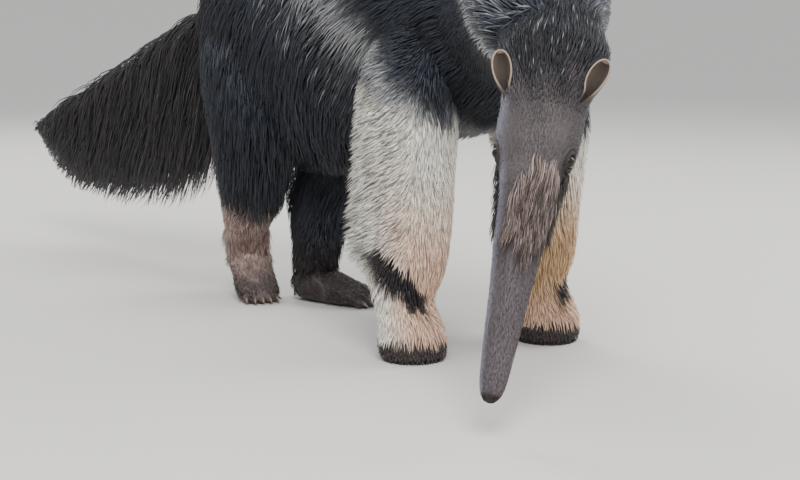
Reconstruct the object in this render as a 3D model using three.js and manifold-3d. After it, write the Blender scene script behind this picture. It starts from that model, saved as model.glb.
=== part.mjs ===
// Giant anteater, standing, head bent down and to its right
// Millimetres, +Z up. The animal faces -Y and its left side is +X.
// Coordinates in the code are measured from the point midway between the soles of the forefeet.
// At the end the whole group is moved so that the origin is the middle of the base of its box.
import * as THREE from 'three';
import { mergeVertices } from 'three/addons/utils/BufferGeometryUtils.js';
import Module from 'manifold-3d';

const wasm = await Module();
wasm.setup();

// Driving dimensions
const GAP = 0.3;                  // clearance between solids that touch
const WELD = 0.001;               // vertices closer than this are one
const SHOULDER_Y = 20;            // fore and aft place of the shoulder joints
const HIP_Y = 460;                // fore and aft place of the hip joints
const BACK_Z = 430;               // height of the middle of the trunk
const FACE_TOP = [-136, -265, 410];      // back of the head, on the axis of the head
const FACE_AXIS = [-0.383, -0.175, -0.907];  // from the back of the head to the nose
const FACE_LENGTH = 405;          // back of the head to the tip of the nose
const FACE_SPLIT = 0.47;          // share of that length where the snout begins
const BROW_SIDE = [-0.8, -0.6, 0];       // level direction that the forehead faces
const EYE_RADIUS = 8;
const EYE_PLACE = 0.315;          // share of the face length
const EYE_ANGLE = 12;             // degrees above the widest line of the head
const EAR_PLACE = { right: 0.18, left: 0.15 };
const EAR_ANGLE = 14;
const EAR_LENGTH = 58;
const EAR_WIDTH = 24;
const EAR_WALL = 2.2;
const MOUTH_LENGTH = 46;
const BROW_LIFT = 9;              // how far the tips of the brow hair stand off the snout
const FORE_CLAW = [44, 62, 58];   // lengths of the three claws of a forefoot
const HIND_CLAW = 22;             // length of each of the five claws of a hind foot
const TAIL_END = 1425;            // fore and aft place of the tip of the tail hair
const CORE_SHARE = 0.38;          // how far the solid core reaches into the depth of the coat
const ROOT_DEPTH = 9;             // how deep the root of a lock sits in the core
const LOCK_STEPS = 3;             // sections along a lock
const EDGE_GROW = 12;             // a sharp edge moves this far for each unit its faces move
const FACE_GROW = 4;
const TIP_GROW = 4;

// Colours
const DARK_HAIR = 0x2b2c33;
const GREY_HAIR = 0x77757a;
const PALE_HAIR = 0xd9d2c6;
const BROWN_HAIR = 0x5b4c44;
const EYE_COLOUR = 0x120e0c;
const CLAW_COLOUR = 0x4a4038;
const EAR_COLOUR = 0x8a7866;

const vector = (values) => new THREE.Vector3(...values);
const radians = THREE.MathUtils.degToRad;

// A form is a row of sections along a smooth path, each with its half width and its reach
// above and below the path. A point on it is given by its share of the length and its angle:
// 0 is one side, 90 is up, 180 the other side.
class Form {
  constructor(sections, { up = [0, 0, 1], pear = 0, sweep = 0 } = {}) {
    const spline = (points) => new THREE.CatmullRomCurve3(points, false, 'catmullrom', 0.5);
    this.path = spline(sections.map((row) => vector(row.slice(0, 3))));
    this.reach = spline(sections.map((row) => vector(row.slice(3, 6))));
    this.up = vector(up);
    this.pear = pear;
    this.sweep = sweep;
  }

  frame(t) {
    const along = this.path.getTangent(t);
    const up = this.up.clone().addScaledVector(along, -this.up.dot(along)).normalize();
    const side = new THREE.Vector3().crossVectors(along, up);
    return { along, up, side, centre: this.path.getPoint(t), reach: this.reach.getPoint(t) };
  }

  point(t, degrees, grow = 0) {
    const { along, up, side, centre, reach } = this.frame(t);
    const angle = radians(degrees);
    const rise = Math.sin(angle);
    const height = (rise > 0 ? reach.y : reach.z) + grow;
    const width = (reach.x + grow) * (1 - this.pear * rise);
    return centre
      .addScaledVector(side, width * Math.cos(angle))
      .addScaledVector(up, height * rise)
      .addScaledVector(along, this.sweep * height * rise * rise);
  }

  normal(t, degrees) {
    const { up, side, reach } = this.frame(t);
    const angle = radians(degrees);
    const rise = Math.sin(angle);
    const height = rise > 0 ? reach.y : reach.z;
    return side.multiplyScalar(Math.cos(angle) / reach.x).addScaledVector(up, rise / height).normalize();
  }

  // A closed skin between two places on the path. A dome rounds an end, a negative trim keeps it
  // clear of a neighbour, and the floor flattens whatever would go below it.
  skin({ rings, sides, from = 0, to = 1, domes = [0, 0], trims = [0, 0], grow = 0, floor = false }) {
    const geometry = new THREE.SphereGeometry(1, sides, rings + 1);
    const position = geometry.attributes.position;
    for (let i = 0; i < position.count; i += 1) {
      const ring = Math.floor(i / (sides + 1));
      const share = THREE.MathUtils.clamp((ring - 1) / (rings - 1), 0, 1);
      const t = THREE.MathUtils.lerp(from, to, share);
      const frame = this.frame(t);
      const atPole = ring === 0 || ring === rings + 1;
      const degrees = (i % (sides + 1)) * 360 / sides;
      const place = atPole ? frame.centre.clone() : this.point(t, degrees, grow);
      if (ring <= 1) {
        place.addScaledVector(frame.along, -grow - trims[0] - (atPole ? domes[0] : 0));
      }
      if (ring >= rings) {
        place.addScaledVector(frame.along, grow + trims[1] + (atPole ? domes[1] : 0));
      }
      if (floor) {
        place.z = Math.max(place.z, 0);
      }
      position.setXYZ(i, place.x, place.y, place.z);
    }
    return solidOf(geometry);
  }
}

// The core under a coat: the same rows, less most of the depth of the hair on each
function coreRows(rows, hair) {
  const bare = 1 - CORE_SHARE;
  return rows.map((row, i) => row.map((value, k) => (k < 3 ? value : value - bare * hair[i][k - 3])));
}

// Closed solids
function solidOf(geometry) {
  geometry.deleteAttribute('normal');
  geometry.deleteAttribute('uv');
  const merged = mergeVertices(geometry, WELD);
  const corners = [...merged.index.array];
  const kept = [];
  for (let i = 0; i < corners.length; i += 3) {
    const [a, b, c] = corners.slice(i, i + 3);
    if (a !== b && b !== c && a !== c) {
      kept.push(a, b, c);
    }
  }
  const build = (triangles) => new wasm.Manifold(new wasm.Mesh({
    numProp: 3,
    vertProperties: new Float32Array(merged.attributes.position.array),
    triVerts: new Uint32Array(triangles),
  }));
  const solid = build(kept);
  return solid.volume() > 0 ? solid : build(kept.reverse());
}

function joined(solids) {
  return solids.reduce((sum, solid) => sum.add(solid));
}

function largest(solid) {
  const pieces = solid.decompose();
  return pieces.reduce((best, piece) => (piece.volume() > best.volume() ? piece : best));
}

// A tapering or even strand along given points, with its flat side facing outward
function strand(points, outward, widths, depths, { sides = 4, pointed = true } = {}) {
  const steps = points.length - 1;
  const geometry = pointed
    ? new THREE.ConeGeometry(1, 1, sides, steps)
    : new THREE.CylinderGeometry(1, 1, 1, sides, steps);
  const position = geometry.attributes.position;
  for (let i = 0; i < position.count; i += 1) {
    const share = position.getY(i) + 0.5;
    const step = Math.round(share * steps);
    const ringSize = Math.hypot(position.getX(i), position.getZ(i));
    const cosine = ringSize > 0 ? position.getX(i) / ringSize : 0;
    const sine = ringSize > 0 ? position.getZ(i) / ringSize : 0;
    const along = points[Math.min(step + 1, steps)].clone().sub(points[Math.max(step - 1, 0)]).normalize();
    const across = new THREE.Vector3().crossVectors(along, outward[step]).normalize();
    const outer = new THREE.Vector3().crossVectors(across, along);
    const place = points[step].clone()
      .addScaledVector(across, cosine * widths[step])
      .addScaledVector(outer, sine * depths[step]);
    position.setXYZ(i, place.x, place.y, place.z);
  }
  return solidOf(geometry);
}

// Forms of the body, head to tail. A row is x, y, z, half width, reach up, reach down.
// The hair rows give the depth of the coat at the sides, on top and below.
const trunkRows = [
  [0, -130, BACK_Z - 30, 62, 70, 70],
  [0, -80, BACK_Z - 15, 95, 108, 108],
  [0, 0, BACK_Z, 120, 145, 142],
  [0, 110, BACK_Z, 130, 175, 165],
  [0, 250, BACK_Z - 5, 145, 200, 215],
  [0, 380, BACK_Z - 5, 150, 205, 225],
  [0, HIP_Y + 20, BACK_Z - 5, 142, 190, 205],
  [0, HIP_Y + 100, BACK_Z - 5, 115, 160, 165],
  [0, HIP_Y + 160, BACK_Z - 10, 70, 110, 110],
];
const trunkHair = [
  [2, 4, 4],
  [3, 8, 6],
  [6, 18, 8],
  [12, 36, 22],
  [20, 52, 68],
  [24, 60, 86],
  [26, 64, 82],
  [24, 62, 72],
  [20, 58, 58],
];
const trunkCoat = new Form(trunkRows);
const trunkCore = new Form(coreRows(trunkRows, trunkHair));

const neck = new Form([
  [-2, -30, 440, 108, 120, 118],
  [-32, -105, 455, 101, 104, 104],
  [-76, -168, 458, 92, 92, 94],
  [-112, -214, 447, 82, 80, 84],
  [-134, -252, 420, 62, 56, 62],
]);

const faceRow = (share, halfWidth, top, bottom) => {
  const place = vector(FACE_TOP).addScaledVector(vector(FACE_AXIS), share * FACE_LENGTH);
  return [...place.toArray(), halfWidth, top, bottom];
};
const face = new Form([
  faceRow(-0.08, 48, 36, 46),
  faceRow(0, 63, 48, 58),
  faceRow(0.08, 57, 45, 57),
  faceRow(0.16, 49, 40, 53),
  faceRow(0.24, 48.5, 36, 49),
  faceRow(0.32, 45.5, 33, 45),
  faceRow(0.4, 35.5, 28, 38),
  faceRow(0.48, 31, 25, 33),
  faceRow(0.56, 28.5, 23, 30),
  faceRow(0.64, 25, 20, 26),
  faceRow(0.72, 22, 18, 23),
  faceRow(0.8, 20, 16, 20),
  faceRow(0.88, 17.5, 14, 17),
  faceRow(0.95, 14.5, 11.5, 13),
  faceRow(1, 9, 7, 8),
], { up: BROW_SIDE, pear: 0.08 });

const foreLegRows = {
  right: [
    [-86, SHOULDER_Y + 16, 425, 50, 62, 80],
    [-93, SHOULDER_Y + 22, 360, 58, 70, 92],
    [-98, SHOULDER_Y + 24, 295, 61, 72, 98],
    [-101, SHOULDER_Y + 22, 235, 59, 68, 108],
    [-105, SHOULDER_Y + 14, 180, 56, 62, 128],
    [-110, SHOULDER_Y + 8, 130, 51, 54, 130],
    [-117, SHOULDER_Y + 6, 88, 41, 42, 66],
    [-117, SHOULDER_Y + 4, 60, 41, 42, 42],
    [-115, SHOULDER_Y - 2, 32, 46, 48, 44],
    [-114, SHOULDER_Y - 4, 10, 46, 47, 42],
    [-114, SHOULDER_Y - 3, -4, 40, 41, 36],
  ],
  left: [
    [90, SHOULDER_Y - 2, 425, 50, 62, 80],
    [101, SHOULDER_Y - 7, 360, 58, 70, 92],
    [107, SHOULDER_Y - 12, 295, 61, 72, 98],
    [106, SHOULDER_Y - 15, 235, 55, 63, 74],
    [101, SHOULDER_Y - 18, 180, 52, 58, 68],
    [98, SHOULDER_Y - 22, 130, 48, 52, 62],
    [93, SHOULDER_Y - 22, 88, 41, 42, 48],
    [98, SHOULDER_Y - 25, 60, 41, 42, 42],
    [104, SHOULDER_Y - 28, 32, 46, 48, 44],
    [105, SHOULDER_Y - 28, 10, 46, 47, 42],
    [105, SHOULDER_Y - 27, -4, 40, 41, 36],
  ],
};
const fringeDepth = {
  right: [0, 4, 26, 46, 66, 70, 24, 0, 0, 0, 0],
  left: [0, 4, 14, 20, 22, 20, 4, 0, 0, 0, 0],
};
const FORE_WRIST = 0.66;          // share of a foreleg where the foot begins
const HIND_KNEE = 0.5;            // share of a hind leg where the shank begins
const LEG_UP = { up: [0, -1, 0] };
const foreLegCoat = {};
const foreLegCore = {};
const hindLegCoat = {};
const hindLegCore = {};
const hindLegRows = {
  right: [
    [-72, HIP_Y + 10, 455, 58, 95, 90],
    [-82, HIP_Y - 5, 390, 68, 110, 105],
    [-88, HIP_Y - 22, 320, 68, 112, 105],
    [-86, HIP_Y - 18, 260, 62, 104, 92],
    [-74, HIP_Y + 12, 200, 52, 86, 74],
    [-54, HIP_Y + 52, 150, 42, 56, 56],
    [-38, HIP_Y + 82, 110, 35, 37, 40],
    [-31, HIP_Y + 90, 80, 31, 33, 34],
  ],
  left: [
    [72, HIP_Y - 5, 455, 58, 95, 90],
    [80, HIP_Y - 30, 390, 68, 110, 105],
    [77, HIP_Y - 52, 320, 68, 102, 112],
    [66, HIP_Y - 58, 255, 62, 82, 118],
    [50, HIP_Y - 46, 195, 54, 64, 106],
    [35, HIP_Y - 36, 140, 48, 52, 84],
    [25, HIP_Y - 30, 95, 40, 44, 56],
    [20, HIP_Y - 28, 62, 34, 38, 38],
  ],
};
const thighHair = {
  right: [
    [10, 14, 14],
    [16, 22, 24],
    [20, 35, 32],
    [22, 50, 36],
    [18, 50, 34],
    [10, 24, 20],
    [2, 4, 4],
    [0, 0, 0],
  ],
  left: [
    [10, 14, 14],
    [16, 22, 24],
    [20, 28, 39],
    [22, 30, 62],
    [18, 26, 64],
    [10, 14, 42],
    [2, 3, 14],
    [0, 0, 0],
  ],
};
for (const side of ['right', 'left']) {
  const fringe = fringeDepth[side].map((depth) => [0, 0, depth]);
  foreLegCoat[side] = new Form(foreLegRows[side], LEG_UP);
  foreLegCore[side] = new Form(coreRows(foreLegRows[side], fringe), LEG_UP);
  hindLegCoat[side] = new Form(hindLegRows[side], LEG_UP);
  hindLegCore[side] = new Form(coreRows(hindLegRows[side], thighHair[side]), LEG_UP);
}

const hindFeet = {
  right: new Form([
    [-22, HIP_Y + 116, 78, 20, 14, 20],
    [-27, HIP_Y + 98, 66, 31, 28, 34],
    [-38, HIP_Y + 68, 46, 33, 26, 34],
    [-51, HIP_Y + 36, 27, 35, 24, 34],
    [-62, HIP_Y + 8, 16, 33, 17, 22],
    [-69, HIP_Y - 10, 12, 22, 9, 14],
  ]),
  left: new Form([
    [9, HIP_Y + 4, 24, 20, 16, 28],
    [14, HIP_Y - 11, 28, 31, 30, 34],
    [22, HIP_Y - 38, 28, 34, 32, 34],
    [34, HIP_Y - 76, 22, 36, 24, 30],
    [48, HIP_Y - 116, 16, 33, 16, 22],
    [55, HIP_Y - 136, 11, 21, 8, 14],
  ]),
};

const tailRows = [
  [0, HIP_Y + 140, 432, 62, 80, 90],
  [0, HIP_Y + 220, 418, 72, 82, 220],
  [0, HIP_Y + 320, 390, 80, 82, 285],
  [0, HIP_Y + 440, 350, 82, 82, 272],
  [0, HIP_Y + 590, 302, 78, 82, 225],
  [0, HIP_Y + 730, 264, 70, 78, 184],
  [0, HIP_Y + 850, 240, 54, 68, 140],
  [0, TAIL_END - 15, 226, 20, 34, 46],
];
const tailHair = [
  [30, 48, 56],
  [46, 55, 170],
  [58, 60, 240],
  [61, 62, 230],
  [60, 63, 188],
  [55, 62, 152],
  [44, 58, 118],
  [16, 30, 40],
];
const tailCoat = new Form(tailRows, { sweep: 0.3 });
const tailCore = new Form(coreRows(tailRows, tailHair), { sweep: 0.3 });
const TAIL_CUTS = [0.36, 0.66];   // shares of the tail where one length ends and the next begins
const TAIL_CORE_END = 0.95;       // share of the tail where its core ends and only hair goes on

// The rows of the face are evenly spaced from a little behind the back of the head
const FACE_LEAD = 0.08;
const faceShare = (share) => (share + FACE_LEAD) / (1 + FACE_LEAD);
const EYE_SHARE = faceShare(EYE_PLACE);
const EAR_SHARE = { right: faceShare(EAR_PLACE.right), left: faceShare(EAR_PLACE.left) };
const SPLIT_SHARE = faceShare(FACE_SPLIT);

// Eyes
const sideAngle = { right: (degrees) => degrees, left: (degrees) => 180 - degrees };

function eye(side, grow = 0) {
  const angle = sideAngle[side](EYE_ANGLE);
  const centre = face.point(EYE_SHARE, angle).addScaledVector(face.normal(EYE_SHARE, angle), -4.5);
  const geometry = new THREE.SphereGeometry(EYE_RADIUS + grow, 10, 6);
  geometry.translate(centre.x, centre.y, centre.z);
  return solidOf(geometry);
}

function lids(side) {
  const angle = sideAngle[side](EYE_ANGLE);
  const normal = face.normal(EYE_SHARE, angle);
  const centre = face.point(EYE_SHARE, angle).addScaledVector(normal, -1);
  const geometry = new THREE.TorusGeometry(EYE_RADIUS - 0.5, 3, 5, 10);
  const turn = new THREE.Quaternion().setFromUnitVectors(new THREE.Vector3(0, 0, 1), normal);
  geometry.scale(1, 0.72, 1);
  geometry.applyQuaternion(turn);
  geometry.translate(centre.x, centre.y, centre.z);
  return solidOf(geometry);
}

// Ears, each a cupped paddle on a narrow stem
const EAR_LEAN = { right: 0.3, left: 0.08 };
const EAR_DEPTH = { right: -5, left: 3 };  // how far the root of the ear stands out of the head

function ear(side, grow = 0) {
  const angle = sideAngle[side](EAR_ANGLE);
  const place = EAR_SHARE[side];
  const { along, up } = face.frame(place);
  const outward = face.normal(place, angle);
  const base = face.point(place, angle).addScaledVector(outward, EAR_DEPTH[side]);
  const rise = along.clone().negate().addScaledVector(outward, EAR_LEAN[side]).normalize();
  const section = (share, halfWidth, front, back) => {
    const centre = base.clone().addScaledVector(rise, share * EAR_LENGTH);
    centre.addScaledVector(outward, 5 * share);
    return [...centre.toArray(), halfWidth, front, back];
  };
  const half = EAR_WIDTH / 2;
  const shell = new Form([
    section(-0.12, 6, 5, 5),
    section(0.1, 6.5, 5, 5),
    section(0.32, half * 0.78, 5.5, 6),
    section(0.62, half, 5.5, 7),
    section(0.86, half * 0.86, 4.5, 5.5),
    section(1, half * 0.4, 2.4, 2.6),
  ], { up: up.toArray() });
  const inner = new Form([
    section(0.16, 2.5, 8, 1),
    section(0.36, half * 0.78 - EAR_WALL, 9, 6 - EAR_WALL),
    section(0.62, half - EAR_WALL, 10, 7 - EAR_WALL),
    section(0.84, half * 0.86 - EAR_WALL, 9, 5.5 - EAR_WALL),
    section(0.95, 2.5, 7, 1),
  ], { up: up.toArray() });
  const outer = shell.skin({ rings: 7, sides: 10, domes: [0, 1.5], grow });
  return grow > 0 ? outer : outer.subtract(inner.skin({ rings: 6, sides: 8 }));
}

// Mouth and nostrils
function faceLine(from, to, degrees, lift) {
  const steps = 3;
  const points = [];
  const outward = [];
  for (let i = 0; i <= steps; i += 1) {
    const t = THREE.MathUtils.lerp(from, to, i / steps);
    outward.push(face.normal(t, degrees));
    points.push(face.point(t, degrees).addScaledVector(outward[i], lift));
  }
  return { points, outward };
}

function mouthCut(side) {
  const start = 1 - MOUTH_LENGTH / FACE_LENGTH;
  const { points, outward } = faceLine(start, 1, sideAngle[side](-32), 0);
  return strand(points, outward, points.map(() => 1), points.map(() => 2.6), { pointed: false });
}

function lip(side, degrees) {
  const start = 1 - 0.95 * MOUTH_LENGTH / FACE_LENGTH;
  const { points, outward } = faceLine(start, 0.985, sideAngle[side](degrees), -0.6);
  return strand(points, outward, points.map(() => 2.4), points.map(() => 1.8), { pointed: false });
}

function nostril(side) {
  const t = 0.985;
  const centre = face.point(t, sideAngle[side](38));
  const geometry = new THREE.SphereGeometry(1, 8, 6);
  geometry.scale(2.4, 2.4, 3.8);
  geometry.translate(centre.x, centre.y, centre.z);
  return solidOf(geometry);
}

// Claws, each a cone bent along an arc
function claw({ root, heading, curl, length, radius }) {
  const steps = 4;
  const points = [];
  const outward = [];
  for (let i = 0; i <= steps; i += 1) {
    const share = i / steps;
    points.push(root.clone()
      .addScaledVector(heading, share * length)
      .addScaledVector(curl, share * share * length));
    outward.push(curl.clone().negate().normalize());
  }
  const taper = [1, 0.95, 0.78, 0.5, 0];
  const widths = taper.map((size) => size * radius * 0.75);
  const depths = taper.map((size) => size * radius);
  return strand(points, outward, widths, depths, { sides: 5 });
}

// The claws of a forefoot fold inward and back along the inner side of the foot
const inward = { right: 1, left: -1 };

function foreClaws(side) {
  const foot = foreLegCoat[side].path.getPoint(0.93);
  const heading = new THREE.Vector3(inward[side] * 0.66, 0.75, 0);
  const beside = new THREE.Vector3(inward[side] * 0.75, -0.66, 0);
  return FORE_CLAW.map((length, i) => {
    const root = foot.clone().addScaledVector(heading, 12).addScaledVector(beside, 26 - 19 * i);
    root.z = 20;
    const curl = new THREE.Vector3(inward[side] * -0.16, 0.16, -0.14);
    return claw({ root, heading, curl, length, radius: [5.5, 7.5, 7][i] });
  });
}

function hindClaws(side) {
  const foot = hindFeet[side];
  const { along, side: across } = foot.frame(0.92);
  const level = new THREE.Vector3(along.x, along.y, 0).normalize();
  return [-2, -1, 0, 1, 2].map((step) => {
    const root = foot.path.getPoint(1).addScaledVector(across, step * 9);
    root.addScaledVector(level, -2 * step * step);
    root.z = 11;
    return claw({
      root: root.addScaledVector(level, -6),
      heading: level.clone().addScaledVector(across, step * 0.08),
      curl: new THREE.Vector3(0, 0, -0.3),
      length: HIND_CLAW,
      radius: 4,
    });
  });
}

// Locks of hair. Each starts inside the core and ends on the surface of the coat, drifting
// along the body by its travel and round it by its turn, and tapers to a point.
let seed = 11;
function vary(amount) {
  seed = (seed * 16807) % 2147483647;
  return 1 + amount * (2 * seed / 2147483647 - 1);
}

function lock({ core, coat, place, angle, travel, turn, wide, thick, reach = 1 }, grow = 0) {
  const points = [];
  const outward = [];
  for (let i = 0; i <= LOCK_STEPS; i += 1) {
    const share = i / LOCK_STEPS;
    const t = Math.min(place + travel * share, 1);
    const degrees = angle + turn * share;
    const normal = coat.normal(t, degrees);
    const rise = reach * share ** 0.8;
    const point = core.point(t, degrees).lerp(coat.point(t, degrees), rise);
    points.push(i === 0 ? point.addScaledVector(normal, -ROOT_DEPTH) : point);
    outward.push(normal);
  }
  const last = points[LOCK_STEPS];
  last.add(last.clone().sub(points[LOCK_STEPS - 1]).setLength(TIP_GROW * grow));
  const taper = [0.8, 1, 0.75, 0];
  const widths = taper.map((size) => size * wide / Math.sqrt(3) + EDGE_GROW * grow);
  const depths = taper.map((size) => (0.4 + 0.6 * size) * thick * 2 / 3 + FACE_GROW * grow);
  return strand(points, outward, widths, depths, { sides: 3 });
}

// A tier is a row of like locks between two places on a form, each a little different
function tier(count, from, to, spec) {
  return Array.from({ length: count }, (_, i) => ({
    ...spec,
    place: from + (to - from) * (i + 0.5) / count,
    travel: spec.travel * vary(0.12),
    turn: spec.turn * vary(0.12),
    wide: spec.wide * vary(0.1),
    reach: (spec.reach ?? 1) * (0.95 + 0.05 * vary(1)),
  }));
}

// A cuff is a ring of locks round a leg, at one place along it
function cuff(angles, spec) {
  return angles.map((angle) => ({
    ...spec,
    angle,
    place: spec.place + 0.012 * (vary(1) - 1),
    travel: spec.travel * vary(0.12),
    wide: spec.wide * vary(0.1),
    reach: 0.95 + 0.05 * vary(1),
  }));
}

function trunkLocks() {
  const form = { core: trunkCore, coat: trunkCoat, thick: 8 };
  const mane = [76, 104].flatMap((angle) => tier(8, 0.3, 0.92, {
    ...form, angle, travel: 0.13, turn: (90 - angle) * 0.3, wide: 52, thick: 9, reach: 0.95,
  }));
  const sides = [1, -1].flatMap((side) => {
    const at = (degrees) => (side > 0 ? degrees : 180 - degrees);
    const fall = (degrees) => -side * degrees;
    return [
      ...tier(8, 0.3, 0.95, { ...form, angle: at(60), travel: 0.08, turn: fall(36), wide: 52 }),
      ...tier(8, 0.33, 0.95, { ...form, angle: at(33), travel: 0.07, turn: fall(38), wide: 52 }),
      ...tier(6, 0.3, 0.68, { ...form, angle: at(4), travel: 0.06, turn: fall(42), wide: 52 }),
      ...tier(6, 0.31, 0.66, { ...form, angle: at(-26), travel: 0.05, turn: fall(44), wide: 48 }),
    ];
  });
  return [...mane, ...sides];
}

function hindLegLocks(side) {
  const form = { core: hindLegCore[side], coat: hindLegCoat[side] };
  const around = [-120, -88, -54, -18, 20];
  const angles = side === 'right' ? around : around.map((degrees) => 180 - degrees);
  const turn = side === 'right' ? -8 : 8;
  return [
    ...cuff(angles.slice(1), { ...form, place: 0.2, travel: 0.32, turn, wide: 44, thick: 8 }),
    ...cuff(angles, { ...form, place: 0.42, travel: 0.34, turn, wide: 38, thick: 7 }),
    ...tier(4, 0.35, 0.67, { ...form, angle: -84, travel: 0.2, turn, wide: 36, thick: 7 }),
  ];
}

function foreLegLocks(side) {
  const form = { core: foreLegCore[side], coat: foreLegCoat[side] };
  const fall = side === 'right' ? 0.14 : 0.1;
  return [-102, -78].flatMap((angle, i) => tier(3, 0.26 + 0.04 * i, 0.46 + 0.04 * i, {
    ...form, angle, travel: fall, turn: (-90 - angle) * 0.4, wide: 36, thick: 8,
  }));
}

function tailLocks() {
  const form = { core: tailCore, coat: tailCoat, travel: 0.075, thick: 8 };
  const crest = [66, 114].flatMap((angle) => tier(8, 0.02, 0.84, {
    ...form, angle, travel: 0.14, turn: (90 - angle) * 0.75, wide: 52,
  }));
  const sides = [1, -1].flatMap((side) => {
    const at = (degrees) => (side > 0 ? degrees : 180 - degrees);
    const fall = (degrees) => -side * degrees;
    return [
      ...tier(9, 0.04, 0.86, { ...form, angle: at(28), turn: fall(62), wide: 66, reach: 0.85 }),
      ...tier(14, 0.04, 0.88, { ...form, angle: at(-46), turn: fall(42), wide: 54 }),
    ];
  });
  const tip = [-70, -10, 50, 130, 190, 250].map((angle) => ({
    ...form, angle, place: 0.88, travel: 0.12, turn: 0, wide: 32,
  }));
  return [...crest, ...sides, ...tip];
}

// The locks of the brow lie over the root of the snout without touching it
function browLocks() {
  const lifted = {
    point: (t, degrees) => face.point(t, degrees, BROW_LIFT),
    normal: (t, degrees) => face.normal(t, degrees),
  };
  return [58, 78, 98, 118].map((angle, i) => ({
    core: face,
    coat: lifted,
    place: 0.4 + 0.012 * (i % 2),
    angle,
    travel: 0.19,
    turn: -9,
    wide: 15,
    thick: 4,
  }));
}

// Nodes. Each is cut clear of the nodes named before it.
const group = new THREE.Group();
let occupied = null;

function addNode(name, solid, colour, roughness, cutBy = occupied) {
  const cut = largest(cutBy ? solid.subtract(cutBy) : solid);
  const mesh = cut.getMesh();
  const geometry = new THREE.BufferGeometry();
  geometry.setAttribute('position', new THREE.BufferAttribute(new Float32Array(mesh.vertProperties), 3));
  geometry.setIndex(new THREE.BufferAttribute(new Uint32Array(mesh.triVerts), 1));
  geometry.computeVertexNormals();
  const material = new THREE.MeshStandardMaterial({ color: colour, roughness, metalness: 0 });
  const node = new THREE.Mesh(geometry, material);
  node.name = name;
  group.add(node);
}

function occupy(solid) {
  occupied = occupied ? occupied.add(solid) : solid;
}

function dressed(core, locks, grow = 0) {
  return joined([core, ...locks.map((spec) => lock(spec, grow))]);
}

const SIDES = ['right', 'left'];

// Eyes come first, so that the head is cut round them
const eyes = SIDES.map((side) => eye(side));
SIDES.forEach((side, i) => addNode(`eye_${side}`, eyes[i], EYE_COLOUR, 0.1));
SIDES.forEach((side) => occupy(eye(side, GAP)));

const trunkSkin = { rings: 11, sides: 16, domes: [18, 22] };
const trunkHairLocks = trunkLocks();
addNode('torso', dressed(trunkCore.skin(trunkSkin), trunkHairLocks), DARK_HAIR, 0.9);
occupy(dressed(trunkCore.skin({ ...trunkSkin, grow: GAP }), trunkHairLocks, GAP));

const neckSkin = { rings: 7, sides: 18, domes: [0, 8] };
addNode('neck', neck.skin(neckSkin), GREY_HAIR, 0.9);
occupy(neck.skin({ ...neckSkin, grow: GAP }));

const headSkin = { rings: 12, sides: 18, to: SPLIT_SHARE, domes: [10, 0] };
const browHair = browLocks();
addNode('head', joined([dressed(face.skin(headSkin), browHair), ...SIDES.map(lids)]), GREY_HAIR, 0.85);
occupy(dressed(face.skin({ ...headSkin, grow: GAP }), browHair, GAP));

const snoutSkin = { rings: 11, sides: 14, from: SPLIT_SHARE, domes: [0, 5] };
const snout = [face.skin(snoutSkin), ...SIDES.flatMap((side) => [lip(side, -20), lip(side, -44)])];
const snoutCuts = [...SIDES.map(mouthCut), ...SIDES.map(nostril)];
addNode('snout', joined(snout).subtract(joined(snoutCuts)), GREY_HAIR, 0.85);
occupy(face.skin({ ...snoutSkin, grow: GAP }));

SIDES.forEach((side) => addNode(`ear_${side}`, ear(side), EAR_COLOUR, 0.85));
SIDES.forEach((side) => occupy(ear(side, GAP)));

SIDES.forEach((side) => {
  const leg = foreLegCore[side];
  const locks = foreLegLocks(side);
  const upper = { rings: 10, sides: 16, to: FORE_WRIST };
  const lower = { rings: 7, sides: 16, from: FORE_WRIST, floor: true };
  addNode(`foreleg_${side}`, dressed(leg.skin(upper), locks), PALE_HAIR, 0.85);
  occupy(dressed(leg.skin({ ...upper, grow: GAP }), locks, GAP));
  addNode(`forefoot_${side}`, leg.skin(lower), BROWN_HAIR, 0.85);
  occupy(leg.skin({ ...lower, grow: GAP }));
  foreClaws(side).forEach((solid, i) => addNode(`claw_fore_${side}_${i + 1}`, solid, CLAW_COLOUR, 0.4));
});

SIDES.forEach((side) => {
  const leg = { rings: 7, sides: 16, to: HIND_KNEE };
  const shank = { rings: 6, sides: 16, from: HIND_KNEE };
  const foot = { rings: 8, sides: 14, domes: [4, 3], floor: true };
  const locks = hindLegLocks(side);
  addNode(`hindleg_${side}`, dressed(hindLegCore[side].skin(leg), locks), DARK_HAIR, 0.9);
  occupy(dressed(hindLegCore[side].skin({ ...leg, grow: GAP }), locks, GAP));
  addNode(`hindshank_${side}`, hindLegCore[side].skin(shank), DARK_HAIR, 0.9);
  occupy(hindLegCore[side].skin({ ...shank, grow: GAP }));
  addNode(`hindfoot_${side}`, hindFeet[side].skin(foot), BROWN_HAIR, 0.8);
  occupy(hindFeet[side].skin({ ...foot, grow: GAP }));
  hindClaws(side).forEach((solid, i) => addNode(`claw_hind_${side}_${i + 1}`, solid, CLAW_COLOUR, 0.4));
});

const tailEnds = [0, ...TAIL_CUTS, TAIL_CORE_END];
const tailHairLocks = tailLocks();
['tail_root', 'tail_middle', 'tail_tip'].forEach((name, i) => {
  const part = { rings: 6, sides: 14, from: tailEnds[i], to: tailEnds[i + 1], domes: [0, i === 2 ? 10 : 0] };
  const locks = tailHairLocks.filter(({ place }) => place >= part.from && place < part.to);
  addNode(name, dressed(tailCore.skin({ ...part, trims: [i > 0 ? -GAP : 0, 0] }), locks), DARK_HAIR, 0.9);
  occupy(dressed(tailCore.skin({ ...part, grow: GAP }), locks, GAP));
});

// The origin is the middle of the base of the whole box
const box = new THREE.Box3().setFromObject(group);
const middle = box.getCenter(new THREE.Vector3());
group.position.set(-middle.x, -middle.y, -box.min.z);
group.updateMatrixWorld(true);

export default group;
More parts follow.
